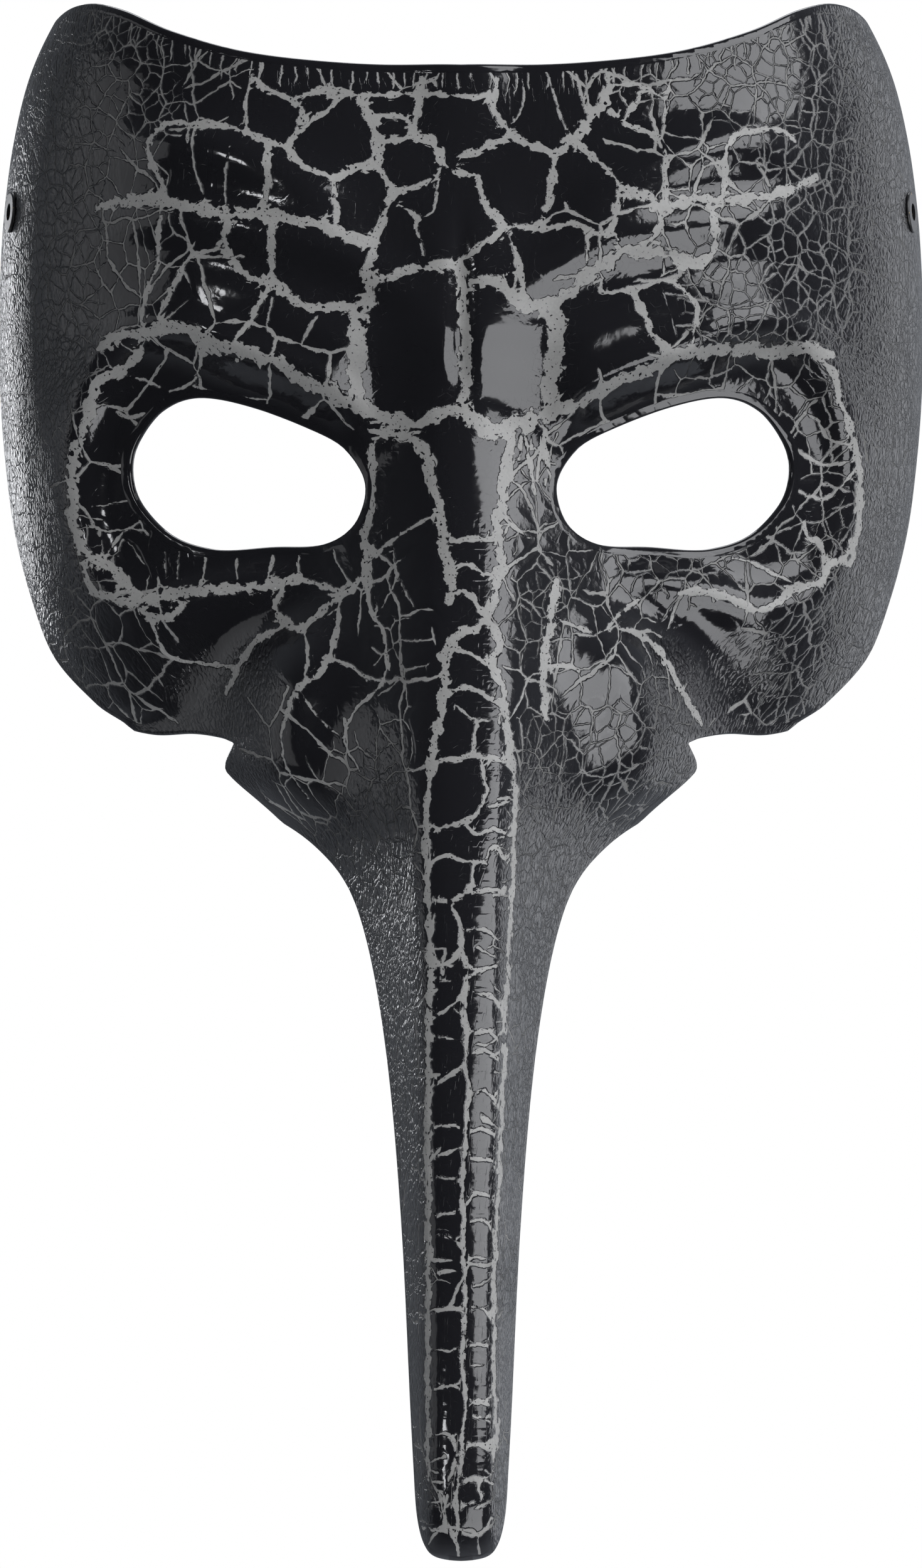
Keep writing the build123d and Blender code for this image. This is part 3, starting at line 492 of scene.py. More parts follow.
class Sheet:
    """A thin formed sheet, cut to shape, as a closed mesh with rounded edges.

    place(u, v) gives points of its outer face, with u x v outward, and kept(points, u, v) is
    positive where the sheet stays.
    """

    def __init__(self, us, vs, place, kept, thickness, bulge):
        self.place, self.kept = place, kept
        u, v = (grid.ravel() for grid in np.meshgrid(us, vs))
        margin = kept(place(u, v), u, v)
        columns = len(us)
        cells = [(r * columns + c, r * columns + c + 1, (r + 1) * columns + c + 1, (r + 1) * columns + c)
                 for r in range(len(vs) - 1) for c in range(columns - 1)]
        corners = np.array(cells)
        keep = margin[corners] > 0
        whole = corners[keep.all(axis=1)]
        cut = corners[keep.any(axis=1) & ~keep.all(axis=1)]
        crossings, ends = self._crossings(cut, margin)
        u_cross, v_cross = self._refined(ends, u, v, margin)
        faces = [tuple(cell) for cell in whole]
        for cell in cut:
            ring = []
            for a, b in zip(cell, np.roll(cell, -1)):
                if margin[a] > 0:
                    ring.append(a)
                key = (min(a, b), max(a, b))
                if key in crossings:
                    ring.append(len(u) + crossings[key])
            if len(ring) > 2:
                faces.append(tuple(ring))
        self.u, self.v = np.append(u, u_cross), np.append(v, v_cross)
        self._renumber(faces)
        self.points = place(self.u, self.v)
        self.normals = self._normals()
        self._close(thickness, bulge)

    @staticmethod
    def _crossings(cut, margin):
        crossings, ends = {}, []
        for cell in cut:
            for a, b in zip(cell, np.roll(cell, -1)):
                key = (min(a, b), max(a, b))
                if (margin[a] > 0) != (margin[b] > 0) and key not in crossings:
                    crossings[key] = len(ends)
                    ends.append(key)
        return crossings, np.array(ends)

    def _refined(self, ends, u, v, margin):
        """Where the edges cross the trimmed line, by halving."""
        halvings, least_share = 9, 0.02
        inside = np.where(margin[ends[:, 0]] > 0, ends[:, 0], ends[:, 1])
        outside = ends.sum(axis=1) - inside
        low, high = np.zeros(len(ends)), np.ones(len(ends))
        for _ in range(halvings):
            t = (low + high) / 2
            at_u = u[inside] + t * (u[outside] - u[inside])
            at_v = v[inside] + t * (v[outside] - v[inside])
            stays = self.kept(self.place(at_u, at_v), at_u, at_v) > 0
            low, high = np.where(stays, t, low), np.where(stays, high, t)
        t = np.maximum(low, least_share)
        return u[inside] + t * (u[outside] - u[inside]), v[inside] + t * (v[outside] - v[inside])

    def _renumber(self, faces):
        used = np.unique(np.concatenate([np.array(face) for face in faces]))
        number = np.full(len(self.u), -1)
        number[used] = np.arange(len(used))
        self.faces = [tuple(number[list(face)].tolist()) for face in faces]
        self.u, self.v = self.u[used], self.v[used]

    def _normals(self):
        du, dv = 2e-4, 0.02
        across = self.place(self.u + du, self.v) - self.place(self.u - du, self.v)
        up = self.place(self.u, self.v + dv) - self.place(self.u, self.v - dv)
        normal = np.cross(across, up)
        return normal / np.linalg.norm(normal, axis=1, keepdims=True)

    def _close(self, thickness, bulge):
        """Adds the inner face and a rounded rim, and keeps which outer vertex each came from."""
        count = len(self.points)
        directed = {(a, b) for face in self.faces for a, b in zip(face, face[1:] + face[:1])}
        border = {a: b for a, b in directed if (b, a) not in directed}
        before = {b: a for a, b in border.items()}
        edge = np.array(sorted(set(border) & set(before)))
        after = self.points[[border[a] for a in edge]]
        ahead = after - self.points[[before[a] for a in edge]]
        side = np.cross(ahead, self.normals[edge]) * (1 if self._faces_out() else -1)
        side /= np.linalg.norm(side, axis=1, keepdims=True) + 1e-12
        inner = self.points - thickness * self.normals
        rings, self.source = [], [np.arange(count), np.arange(count)]
        for step in range(1, RIM_STEPS):
            turn = math.pi * step / RIM_STEPS
            sunk = thickness / 2 * (1 - math.cos(turn)) * self.normals[edge]
            rings.append(self.points[edge] - sunk + bulge * math.sin(turn) * side)
            self.source.append(edge)
        place_of = {a: i for i, a in enumerate(edge)}
        ladder = [lambda a: a]
        ladder += [lambda a, k=k: 2 * count + k * len(edge) + place_of[a] for k in range(len(rings))]
        ladder += [lambda a: count + a]
        faces = list(self.faces) + [tuple(count + a for a in reversed(face)) for face in self.faces]
        for a, b in border.items():
            if a in place_of and b in place_of:
                for near, far in zip(ladder, ladder[1:]):
                    faces.append((near(b), near(a), far(a), far(b)))
        if not self._faces_out():
            faces = [tuple(reversed(face)) for face in faces]
        self.outer_count = len(self.faces)
        self.faces = faces
        self.points = np.vstack([self.points, inner] + rings)
        self.source = np.concatenate(self.source)

    def _faces_out(self):
        """Whether the first faces turn the way their normals point."""
        votes, voters = 0, 50
        for face in self.faces[:voters]:
            a, b, c = self.points[list(face[:3])]
            votes += np.sign(np.cross(b - a, c - a) @ self.normals[face[0]])
        return votes > 0

    def mesh(self, name):
        """The mesh in metres, its second material on the inner face."""
        data = bpy.data.meshes.new(name)
        data.from_pydata((self.points * MM).tolist(), [], self.faces)
        index = np.zeros(len(self.faces), np.int32)
        index[self.outer_count:2 * self.outer_count] = 1
        data.polygons.foreach_set("material_index", index)
        data.polygons.foreach_set("use_smooth", np.ones(len(self.faces), bool))
        return data


def attribute(data, name, values):
    """Writes one value or one vector for each vertex."""
    kind = "FLOAT_VECTOR" if values.ndim == 2 else "FLOAT"
    field = data.attributes.new(name, kind, "POINT")
    field.data.foreach_set("vector" if values.ndim == 2 else "value", values.astype(np.float32).ravel())


# ---------------------------------------------------------------- shader nodes, in short
class Signal:
    """An output socket that can be added, multiplied and compared like a number."""

    def __init__(self, tree, socket):
        self.tree, self.socket = tree, socket

    def math(self, operation, *others):
        return node(self.tree, "Math", {"operation": operation}, self, *others)

    def __add__(self, other):
        return self.math("ADD", other)

    def __sub__(self, other):
        return self.math("SUBTRACT", other)

    def __mul__(self, other):
        return self.math("MULTIPLY", other)

    def __rsub__(self, other):
        return node(self.tree, "Math", {"operation": "SUBTRACT"}, other, self)

    def at_least(self, other):
        return self.math("MAXIMUM", other)

    def at_most(self, other):
        return self.math("MINIMUM", other)

    def ramp(self, low, high):
        """0 at low and 1 at high, with soft ends; low may be the larger."""
        return node(self.tree, "MapRange", {"interpolation_type": "SMOOTHSTEP"}, self, low, high, 0, 1)

    def times(self, scale):
        """A vector multiplied by three numbers."""
        return node(self.tree, "VectorMath", {"operation": "MULTIPLY"}, self, scale)

    def moved(self, other):
        """A vector with another added."""
        return node(self.tree, "VectorMath", {"operation": "ADD"}, self, other)

    def parts(self):
        split = self.tree.nodes.new("ShaderNodeSeparateXYZ")
        self.tree.links.new(self.socket, split.inputs[0])
        return [Signal(self.tree, output) for output in split.outputs]


def node(tree, kind, settings, *inputs, output=0, **named):
    """A new node with its settings and inputs given, as the Signal of one output."""
    made = tree.nodes.new("ShaderNode" + kind)
    for key, value in settings.items():
        setattr(made, key, value)
    for key, value in list(enumerate(inputs)) + list(named.items()):
        if isinstance(value, Signal):
            tree.links.new(value.socket, made.inputs[key])
        else:
            made.inputs[key].default_value = value
    return Signal(tree, made.outputs[output])


def field(tree, name, output="Vector"):
    return node(tree, "Attribute", {"attribute_name": name}, output=output)


def own_place(tree):
    """Place on the piece itself, in millimetres."""
    return node(tree, "TexCoord", {}, output="Object").times((1 / MM, 1 / MM, 1 / MM))


def noise(tree, at, size, detail=2.0, output=0):
    """Smooth noise from 0 to 1 whose lumps are about size millimetres."""
    return node(tree, "TexNoise", {}, output=output, Vector=at, Scale=1 / size, Detail=detail)


def wander(tree, at, size, amount, detail=2.0):
    """A random displacement in the surface, up to about amount millimetres."""
    offset = noise(tree, at, size, detail, output=1).moved((-0.5, -0.5, -0.5))
    return offset.times((2 * amount, 2 * amount, 0))


def chips(tree, at, size, amount):
    """A displacement that is the same all over each random cell, and so breaks a line into flakes."""
    settings = {"voronoi_dimensions": "2D", "feature": "F1"}
    chosen = node(tree, "TexVoronoi", settings, output=1, Vector=at, Scale=1 / size)
    return chosen.moved((-0.5, -0.5, -0.5)).times((2 * amount, 2 * amount, 0))


def cell_edge(tree, at, size):
    """Distance to the nearest edge of random cells about size millimetres across."""
    settings = {"voronoi_dimensions": "2D", "feature": "DISTANCE_TO_EDGE"}
    return node(tree, "TexVoronoi", settings, Vector=at, Scale=1 / size, Randomness=0.95) * size


def blended(tree, share, first, second):
    """Colour from first to second as share goes from 0 to 1."""
    mix = tree.nodes.new("ShaderNodeMix")
    mix.data_type = "RGBA"
    for key, value in (("Factor_Float", share), ("A_Color", first), ("B_Color", second)):
        socket = next(s for s in mix.inputs if s.identifier == key)
        if isinstance(value, Signal):
            tree.links.new(value.socket, socket)
        else:
            socket.default_value = value if isinstance(value, (int, float)) else (*value, 1)
    return Signal(tree, next(s for s in mix.outputs if s.identifier == "Result_Color"))


def new_material(name, **constants):
    """An empty material: its tree and its surface shader, with constant sockets set."""
    material = bpy.data.materials.new(name)
    material.use_nodes = True
    tree = material.node_tree
    tree.nodes.clear()
    surface = tree.nodes.new("ShaderNodeBsdfPrincipled")
    output = tree.nodes.new("ShaderNodeOutputMaterial")
    tree.links.new(surface.outputs[0], output.inputs["Surface"])
    for key, value in constants.items():
        surface.inputs[key.replace("_", " ")].default_value = value
    return material, tree, surface


def finish_surface(tree, surface, colour, roughness, height):
    """Joins colour, roughness and a height in millimetres to the surface shader."""
    bump = node(tree, "Bump", {}, Strength=1.0, Distance=MM, Height=height)
    tree.links.new(bump.socket, surface.inputs["Normal"])
    tree.links.new(colour.socket, surface.inputs["Base Color"])
    tree.links.new(roughness.socket, surface.inputs["Roughness"])


# ---------------------------------------------------------------- crackled lacquer
LACQUER = (0.0135, 0.0135, 0.016)
GROUND = (0.375, 0.372, 0.36)
# size of the cells of each net of fine cracks, and the half width of its cracks
CRACK_NETS = [(13, 0.33), (6.5, 0.18), (3.3, 0.11), (1.75, 0.09)]
CRACK_SOFTNESS = 0.05
LACQUER_COAT = 0.13               # how far an island stands above the ground in its cracks
OUT_OF_REACH = 3.0                # added to the distance to a crack, it hides the crack


def rim_hairs(tree, at, edge):
    """Distance to short cracks that hang from the top rim, side by side."""
    pitch, half_width, longest, spread, rim_height = 2.7, 0.12, 9.0, 18.0, 60.0
    x, z, _ = at.parts()
    settings = {"voronoi_dimensions": "1D", "feature": "DISTANCE_TO_EDGE"}
    beside = node(tree, "TexVoronoi", settings, W=x, Scale=1 / pitch, Randomness=1.0) * pitch
    shorter = (noise(tree, at.times((1, 0, 0)), pitch / 2) - 0.28) * spread
    past_end = (edge + shorter).ramp(longest - 1, longest).at_least(z.ramp(rim_height + 5, rim_height))
    return beside - half_width + past_end * OUT_OF_REACH


def drawn_cracks(tree, flat, drift, jag, steady):
    """Distance to the edge of the drawn cracks, negative inside them."""
    drift_share, jag_share = 0.3, 0.7
    flake_size, flake_reach = 1.2, 0.42
    slack = 0.6                   # halfway between two cracks the offsets cancel, the distance doesn't
    guide_width = field(tree, "guide_width", "Fac")
    gap = field(tree, "guide").moved(drift.times((drift_share, drift_share, 0)))
    gap = gap.moved(jag.times((jag_share, jag_share, 0)))
    gap = gap.moved(chips(tree, flat, flake_size, flake_reach).times(guide_width.at_most(1.0)))
    length = node(tree, "VectorMath", {"operation": "LENGTH"}, gap, output="Value")
    length = length.at_least(field(tree, "guide_distance", "Fac") - slack)
    return length - guide_width * steady


def net_cracks(tree, at, gap, cell, wall, uneven):
    """The nets of fine cracks added to the distance gap, each net where its cells are wanted."""
    narrower_on_walls = 0.25
    for size, half_width in CRACK_NETS:
        absent = cell.ramp(1.1 * size, 1.5 * size).at_least(cell.ramp(size / 3.2, size / 5))
        shown_width = uneven * half_width * (1 - wall * narrower_on_walls) - CRACK_SOFTNESS
        gap = gap.at_most(cell_edge(tree, at, size) - shown_width + absent * OUT_OF_REACH)
    return gap


def crackle_lacquer():
    """Black gloss lacquer split into islands, with the grey ground coat in its cracks."""
    material, tree, surface = new_material("crackle_lacquer", IOR=1.5)
    flat = field(tree, "flat")
    cell, edge, wall = field(tree, "zone").parts()
    drift = wander(tree, flat, 7.0, 1.6, 1.0)
    jag = wander(tree, flat, 1.3, 0.42, 3.0)
    at = flat.moved(drift).moved(jag)
    uneven = (noise(tree, flat, 3.0, 3.0) - 0.5) * 3.2 + 1.0
    drawn = drawn_cracks(tree, flat, drift, jag, uneven.at_least(0.35))
    gap = net_cracks(tree, at, drawn.at_most(rim_hairs(tree, at, edge)), cell, wall, uneven)
    gap = gap + edge.ramp(1.3, 0.6) * OUT_OF_REACH

    # specks of lacquer are left in the wide cracks
    specks = noise(tree, flat, 0.7, 1.0).ramp(0.65, 0.69) * gap.ramp(-0.12, -0.22)
    crack = gap.ramp(CRACK_SOFTNESS, -CRACK_SOFTNESS) * (1 - specks)
    # the ground is darker in the nets than in the drawn cracks, most of all between small cells; it is
    # darker again on the steep walls, painted shade, and on the cheek patches
    net_tone_with_wall_shade = cell.ramp(1.5, 7.0) * 0.45 + 0.48 - wall * 0.33
    tone = noise(tree, flat, 9.0) * 0.5 + noise(tree, flat, 0.5) * 0.3 + 0.6
    tone = tone * (1 - drawn.ramp(-0.1, 0.15) * (1 - net_tone_with_wall_shade))
    ground = node(tree, "CombineColor", {}, tone * GROUND[0], tone * GROUND[1], tone * GROUND[2])
    colour = blended(tree, crack, LACQUER, ground)

    crinkle = cell_edge(tree, at.times((1, 0.6, 1)), 1.1).ramp(0.0, 0.35)
    peel = noise(tree, flat, 3.5, 2.0)
    height = gap.ramp(-0.08, 0.22) * LACQUER_COAT + gap.ramp(0.0, 3.0) * 0.07 + peel * 0.07
    height = height + wall * (crinkle * 0.08 + noise(tree, flat, 1.2, 2.0) * 0.15)
    roughness = crack * 0.42 + wall * 0.14 + noise(tree, flat, 12.0) * 0.06 + 0.07
    finish_surface(tree, surface, colour, roughness, height)
    return material


def raw_plastic():
    """The formed sheet's unpainted inner face."""
    material, tree, surface = new_material("raw_plastic", IOR=1.49)
    at = own_place(tree)
    grain = noise(tree, at, 0.8, 3.0)
    cloud = noise(tree, at, 14.0)
    colour = blended(tree, cloud, (0.016, 0.016, 0.017), (0.026, 0.026, 0.027))
    finish_surface(tree, surface, colour, cloud * 0.15 + grain * 0.1 + 0.34, grain * 0.03 + cloud * 0.1)
    return material


def knit_foam():
    """Black brushed knit over foam."""
    material, tree, surface = new_material("pad_foam", Sheen_Weight=0.35, Sheen_Roughness=0.45)
    at = own_place(tree)
    course_turn, wale_turn = 7.0, 5.2    # radians for each millimetre
    x, _, z = at.moved(wander(tree, at, 2.0, 0.15)).parts()
    course = (z * course_turn + (x * wale_turn).math("SINE") * 0.9).math("SINE")
    wale = (x * wale_turn).math("COSINE")
    loops = (course * 0.5 + 0.5) * (wale * 0.35 + 0.65)
    fuzz = noise(tree, at, 0.35, 3.0)
    # painted shade: the colour follows the relief, darker between the raised loops and lighter on them; the
    # fuzz varies it at random
    colour = blended(tree, loops * 0.7 + fuzz * 0.3, (0.008, 0.008, 0.009), (0.045, 0.045, 0.05))
    finish_surface(tree, surface, colour, fuzz * 0.15 + 0.8, loops * 0.16 + fuzz * 0.12)
    return material


def braided_elastic():
    """Black braided elastic: ribs along it, yarns crossing them in chevrons."""
    material, tree, surface = new_material("elastic_webbing", Sheen_Weight=0.25, Sheen_Roughness=0.4)
    flat = field(tree, "flat")
    along_it, across, _ = flat.parts()
    rib = (across * (math.pi / RIB_PITCH)).math("SINE").math("ABSOLUTE")
    slant = (across * (2 * math.pi / RIB_PITCH)).math("COSINE") * 0.25
    yarn = ((along_it + slant) * (2 * math.pi / YARN_PITCH)).math("SINE") * 0.5 + 0.5
    fuzz = noise(tree, flat, 0.4, 3.0)
    # painted shade: the colour follows the relief, darkest in the grooves between the ribs and yarns and
    # lighter on their crests
    colour = blended(tree, yarn * rib * 0.8 + fuzz * 0.2, (0.006, 0.006, 0.007), (0.04, 0.04, 0.044))
    finish_surface(tree, surface, colour, fuzz * 0.2 + 0.6, rib * 0.12 + yarn * 0.1 + fuzz * 0.05)
    return material


def sewing_thread():
    """Twisted polyester thread."""
    material, tree, surface = new_material("sewing_thread", Sheen_Weight=0.2)
    at = own_place(tree)
    twist = noise(tree, at.times((3, 3, 9)), 1.0, 2.0)
    colour = blended(tree, twist, (0.01, 0.01, 0.011), (0.07, 0.07, 0.075))
    finish_surface(tree, surface, colour, twist * 0.2 + 0.45, twist * 0.06)
    return material


def worn_enamel(name, tint):
    """Black enamel on brass, rubbed through in specks."""
    material, tree, surface = new_material(name, IOR=1.5)
    at = own_place(tree)
    worn = noise(tree, at, 0.9, 4.0).ramp(0.66, 0.7)
    colour = blended(tree, worn, tint, (0.42, 0.3, 0.14))
    tree.links.new(worn.socket, surface.inputs["Metallic"])
    scratch = noise(tree, at.times((1, 1, 6)), 0.5, 2.0)
    finish_surface(tree, surface, colour, scratch * 0.2 + 0.22, scratch * 0.02 - worn * 0.03)
    return material


# ---------------------------------------------------------------- the mask
EYELET_HEIGHT = 52.0
EYELET_REARWARD = 37.0
CHEEK_CENTRE = (56, -37)          # of the duller patch on each cheek
CHEEK_REACH = (9, 7.5)
CHEEK_DULLNESS = 0.9


def eyelet_axis(side):
    """Centre on the outer face of the temple wall, and the direction out of it."""
    x = np.linspace(60, 89.9, 2000)
    height, step = EYELET_HEIGHT, 0.5
    at = float(np.interp(EYELET_REARWARD, -mask_forward(x, height), x))
    across = (mask_forward(at + step, height) - mask_forward(at - step, height)) / (2 * step)
    up = (mask_forward(at, height + step) - mask_forward(at, height - step)) / (2 * step)
    outward = np.array([-side * float(across), -1, -float(up)])
    return np.array([side * at, EYELET_REARWARD, height]), outward / np.linalg.norm(outward)


def nearest_crack(x, z):
    """Offset to the nearest drawn crack, its distance, and its half width there."""
    reach, taper, out_of_reach = 7.0, 3.0, 9.0
    wide, end_of_wide, end_of_fine = 0.3, 0.6, 0.45
    best = np.full(len(x), out_of_reach)
    offset = np.zeros((len(x), 3))
    distance = np.full(len(x), out_of_reach)
    width = np.zeros(len(x))
    for half_width, line in CRACKS:
        line = curve_through(line, 3)
        run = np.append(0, np.cumsum(np.hypot(*np.diff(line, axis=0).T)))
        near = np.flatnonzero((x > line[:, 0].min() - reach) & (x < line[:, 0].max() + reach)
                              & (z > line[:, 1].min() - reach) & (z < line[:, 1].max() + reach))
        thin_end = end_of_wide if half_width > wide else end_of_fine
        for (x0, z0), (x1, z1), s0, s1 in zip(line, line[1:], run, run[1:]):
            dx, dz = x1 - x0, z1 - z0
            t = np.clip(((x[near] - x0) * dx + (z[near] - z0) * dz) / (dx * dx + dz * dz), 0, 1)
            to_x, to_z = x0 + t * dx - x[near], z0 + t * dz - z[near]
            far = np.hypot(to_x, to_z)
            s = s0 + t * (s1 - s0)
            grown = smooth(np.minimum(s, run[-1] - s) / taper)
            here = half_width * (thin_end + (1 - thin_end) * grown)
            closer = far - here < best[near]
            chosen = near[closer]
            best[chosen] = (far - here)[closer]
            offset[chosen, 0], offset[chosen, 1] = to_x[closer], to_z[closer]
            distance[chosen], width[chosen] = far[closer], here[closer]
    return offset, distance, width


def cell_size(x, z):
    """Size of the small cells of the crackle at (x, z)."""
    least_share = 1e-6            # far from every spot they all count the same
    total, weight = 0, 1e-9
    for spot_x, spot_z, size in CELL_SIZES:
        share = np.exp(-((x - spot_x) ** 2 + (z - spot_z) ** 2) / CELL_REACH ** 2) + least_share
        total, weight = total + share * math.log(size), weight + share
    return np.exp(total / weight)


def dullness_and_painted_shade(x, z, normals):
    """How dull and rough the lacquer is, 0 to 1: most on the steep walls and on the cheeks; on the walls
    the same value sets painted shade in the ground of the fine cracks.
    """
    steep_from, steep_over = 0.62, 0.25
    wall = smooth((np.abs(normals[:, 0]) - steep_from) / steep_over)
    across, up = (np.abs(x) - CHEEK_CENTRE[0]) / CHEEK_REACH[0], (z - CHEEK_CENTRE[1]) / CHEEK_REACH[1]
    return np.maximum(wall, CHEEK_DULLNESS * np.exp(-(across ** 2 + up ** 2) ** 2))


def mask():
    """The shell's finer mesh, with what the crackle needs to know at each vertex."""
    us = np.linspace(-1, 1, COLUMNS)
    vs = np.append(np.linspace(LOWEST_ROW, NOSE_STARTS, ROWS_ON_NOSE, endpoint=False),
                   np.linspace(NOSE_STARTS, HIGHEST_ROW, ROWS_ON_FACE))
    axes = [eyelet_axis(side) for side in (1, -1)]
    sheet = Sheet(us, vs, mask_point, lambda p, u, v: inside_mask(p, axes), SHELL_THICKNESS, RIM_BULGE)
    count = len(sheet.normals)
    x, z = sheet.points[:count, 0], sheet.points[:count, 2]
    data = sheet.mesh("mask")
    offset, distance, width = nearest_crack(x, z)
    flat = np.stack([across_at(sheet.u, z), z, 0 * z], axis=1)
    edge = inside_mask(sheet.points[:count], axes)
    zone = np.stack([cell_size(x, z), edge, dullness_and_painted_shade(x, z, sheet.normals)], axis=1)
    for name, values in (("guide", offset), ("guide_distance", distance), ("guide_width", width),
                         ("flat", flat), ("zone", zone)):
        attribute(data, name, values[sheet.source])
    piece = bpy.data.objects.new("mask", data)
    bpy.context.scene.collection.objects.link(piece)
    data.materials.append(crackle_lacquer())
    data.materials.append(raw_plastic())
    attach(piece, "mask")
    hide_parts("mask_shell")


def across_at(u, z):
    """Length along the outer face from the middle plane to u, at height z."""
    steps, rows = 60, 90
    heights = np.linspace(LOWEST_ROW - 1, HIGHEST_ROW + 1, rows)
    grid_u, grid_z = np.meshgrid(np.linspace(0, 1, steps + 1), heights)
    grid = mask_point(grid_u.ravel(), grid_z.ravel()).reshape(rows, steps + 1, 3)
    table = np.cumsum(np.linalg.norm(np.diff(grid, axis=1), axis=2), axis=1)
    table = np.hstack([np.zeros((rows, 1)), table])
    column = np.clip(np.abs(u) * steps, 0, steps - 1e-6)
    row = np.clip((z - heights[0]) / (heights[1] - heights[0]), 0, rows - 1 - 1e-6)
    i, j = row.astype(int), column.astype(int)
    down, right = row - i, column - j
    low = table[i, j] * (1 - right) + table[i, j + 1] * right
    high = table[i + 1, j] * (1 - right) + table[i + 1, j + 1] * right
    return (low * (1 - down) + high * down) * np.sign(u)


# ---------------------------------------------------------------- elastic strap
STRAP_WIDTH = 12.0
STRAP_THICKNESS = 1.0
STRAP_TAB_LENGTH = 18.0
STRAP_STRAIGHT = 20.0
STRAP_SIDE_RADIUS = 55.0
STRAP_SIDE_TURN = math.radians(72)
STRAP_HOLE_RADIUS = 3.1
STRAP_TOE_IN = math.radians(7)
STRAP_DROOP = math.radians(6.5)
STRAP_DEPTH = 4.3                 # from the shell's outer face to the middle of the tab
RIB_PITCH = 1.2
RIB_HEIGHT = 0.09
YARN_PITCH = 0.75
PLY_GAP = 0.05                    # the elastic is this much thinner than the CAD strap's layers
FOLD_GAP = 0.12                   # between the band and its folded end
TAB_RISE = 4.0                    # length over which the band steps outward on to its fold
STITCH_RADIUS = 0.16


def strap_course():
    """Half of the strap's line in plan: start, heading, and each arc's length and radius."""
    centre, axis = eyelet_axis(1)
    hole = centre - axis * STRAP_DEPTH
    heading = math.atan2(axis[0], -axis[1]) + STRAP_TOE_IN
    start = hole[:2] - STRAP_WIDTH / 2 * np.array([math.cos(heading), math.sin(heading)])
    turned = heading + STRAP_SIDE_TURN
    back_turn = math.pi - turned
    end_x = start[0] + STRAP_STRAIGHT * math.cos(heading)
    end_x += STRAP_SIDE_RADIUS * (math.sin(turned) - math.sin(heading))
    back_radius = end_x / math.sin(back_turn)
    arcs = [(STRAP_STRAIGHT, 0), (STRAP_SIDE_RADIUS * STRAP_SIDE_TURN, 1 / STRAP_SIDE_RADIUS),
            (back_radius * back_turn, 1 / back_radius)]
    return hole, start, heading, arcs


def strap_line(s):
    """Point in plan and heading, s along the left half from its tab's end."""
    _, start, heading, arcs = strap_course()
    x, y, angle = np.full(len(s), start[0]), np.full(len(s), start[1]), np.full(len(s), heading)
    gone = 0.0
    for i, (length, bend) in enumerate(arcs):
        last = i == len(arcs) - 1
        run = np.clip(s - gone, None if i == 0 else 0, None if last else length)
        middle = angle + bend * run / 2
        chord = run * np.sinc(bend * run / (2 * math.pi))
        x, y = x + chord * np.cos(middle), y + chord * np.sin(middle)
        angle, gone = angle + bend * run, gone + length
    return x, y, angle


def strap_half_length():
    return sum(length for length, _ in strap_course()[3])


def strap_point(s, w, outward):
    """Point on the strap: s from the left tab's end to the right one's, w up, outward off its middle."""
    hole = strap_course()[0]
    half = strap_half_length()
    left = s <= half
    x, y, angle = strap_line(np.where(left, s, 2 * half - s))
    x, y = x + outward * np.sin(angle), y - outward * np.cos(angle)
    x = np.where(left, x, -x)
    back, up = y - hole[1], w
    cos, sin = math.cos(-STRAP_DROOP), math.sin(-STRAP_DROOP)
    return np.stack([x, hole[1] + back * cos - up * sin, hole[2] + back * sin + up * cos], axis=-1)


def strap_kept(s, w, length):
    """Distance inside the strap's outline with its rounded ends and its two holes."""
    radius = STRAP_WIDTH / 2
    from_end = np.minimum(s, length - s)
    outline = radius - np.hypot(np.minimum(from_end - radius, 0), w)
    hole = np.hypot(from_end - radius, w) - STRAP_HOLE_RADIUS
    return np.minimum(outline, hole)


def strap_sheet(name, s_range, step, surface_at, end, thickness):
    """A band of the strap over s_range, cut off at the two values in end, with its outer face
    surface_at(s) off the strap's middle."""
    bulge, spare, points_across = 0.42, 1.0, 85
    half_width = STRAP_WIDTH / 2 + spare
    ss = np.arange(s_range[0] - spare, s_range[1] + spare, step)
    ws = np.linspace(-half_width, half_width, points_across)
    length = 2 * strap_half_length()

    def place(s, w):
        ribs = RIB_HEIGHT * np.abs(np.sin(math.pi * w / RIB_PITCH))
        return strap_point(s, w, surface_at(s) + ribs)

    def kept(_, s, w):
        inside = np.minimum(strap_kept(s, w, length), np.minimum(s - end[0], end[1] - s))
        return inside - bulge

    sheet = Sheet(ss, ws, place, kept, thickness, bulge)
    data = sheet.mesh(name)
    flat = np.stack([sheet.u, sheet.v, 0 * sheet.u], axis=1)
    attribute(data, "flat", flat[sheet.source])
    return data


def strap():
    """The elastic, its ends folded over, and the stitches that hold the folds."""
    length = 2 * strap_half_length()
    elastic = braided_elastic()
    layer = STRAP_THICKNESS - PLY_GAP
    band_step, fold_step = 1.4, 0.8
    beyond = 9.0                  # a cut this far past an end leaves its rounded outline whole

    def band_face(s):
        from_end = np.minimum(s, length - s)
        return layer / 2 + layer / 2 * smooth((STRAP_TAB_LENGTH + TAB_RISE - from_end) / TAB_RISE)

    def fold_face(s):
        return np.full(len(s), -FOLD_GAP)

    ends = (-beyond, length + beyond)
    band = strap_sheet("elastic_band", (0, length), band_step, band_face, ends, layer)
    piece = shown("elastic_band", band, elastic)
    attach(piece, "strap")
    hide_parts("elastic_strap")
    folds = {"left": ((0, STRAP_TAB_LENGTH), (-beyond, STRAP_TAB_LENGTH)),
             "right": ((length - STRAP_TAB_LENGTH, length), (length - STRAP_TAB_LENGTH, length + beyond))}
    for side, (s_range, end) in folds.items():
        name = f"elastic_fold_{side}"
        folded = strap_sheet(name, s_range, fold_step, fold_face, end, layer - FOLD_GAP)
        flap = shown(name, folded, elastic)
        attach(flap, "strap")
    stitches()


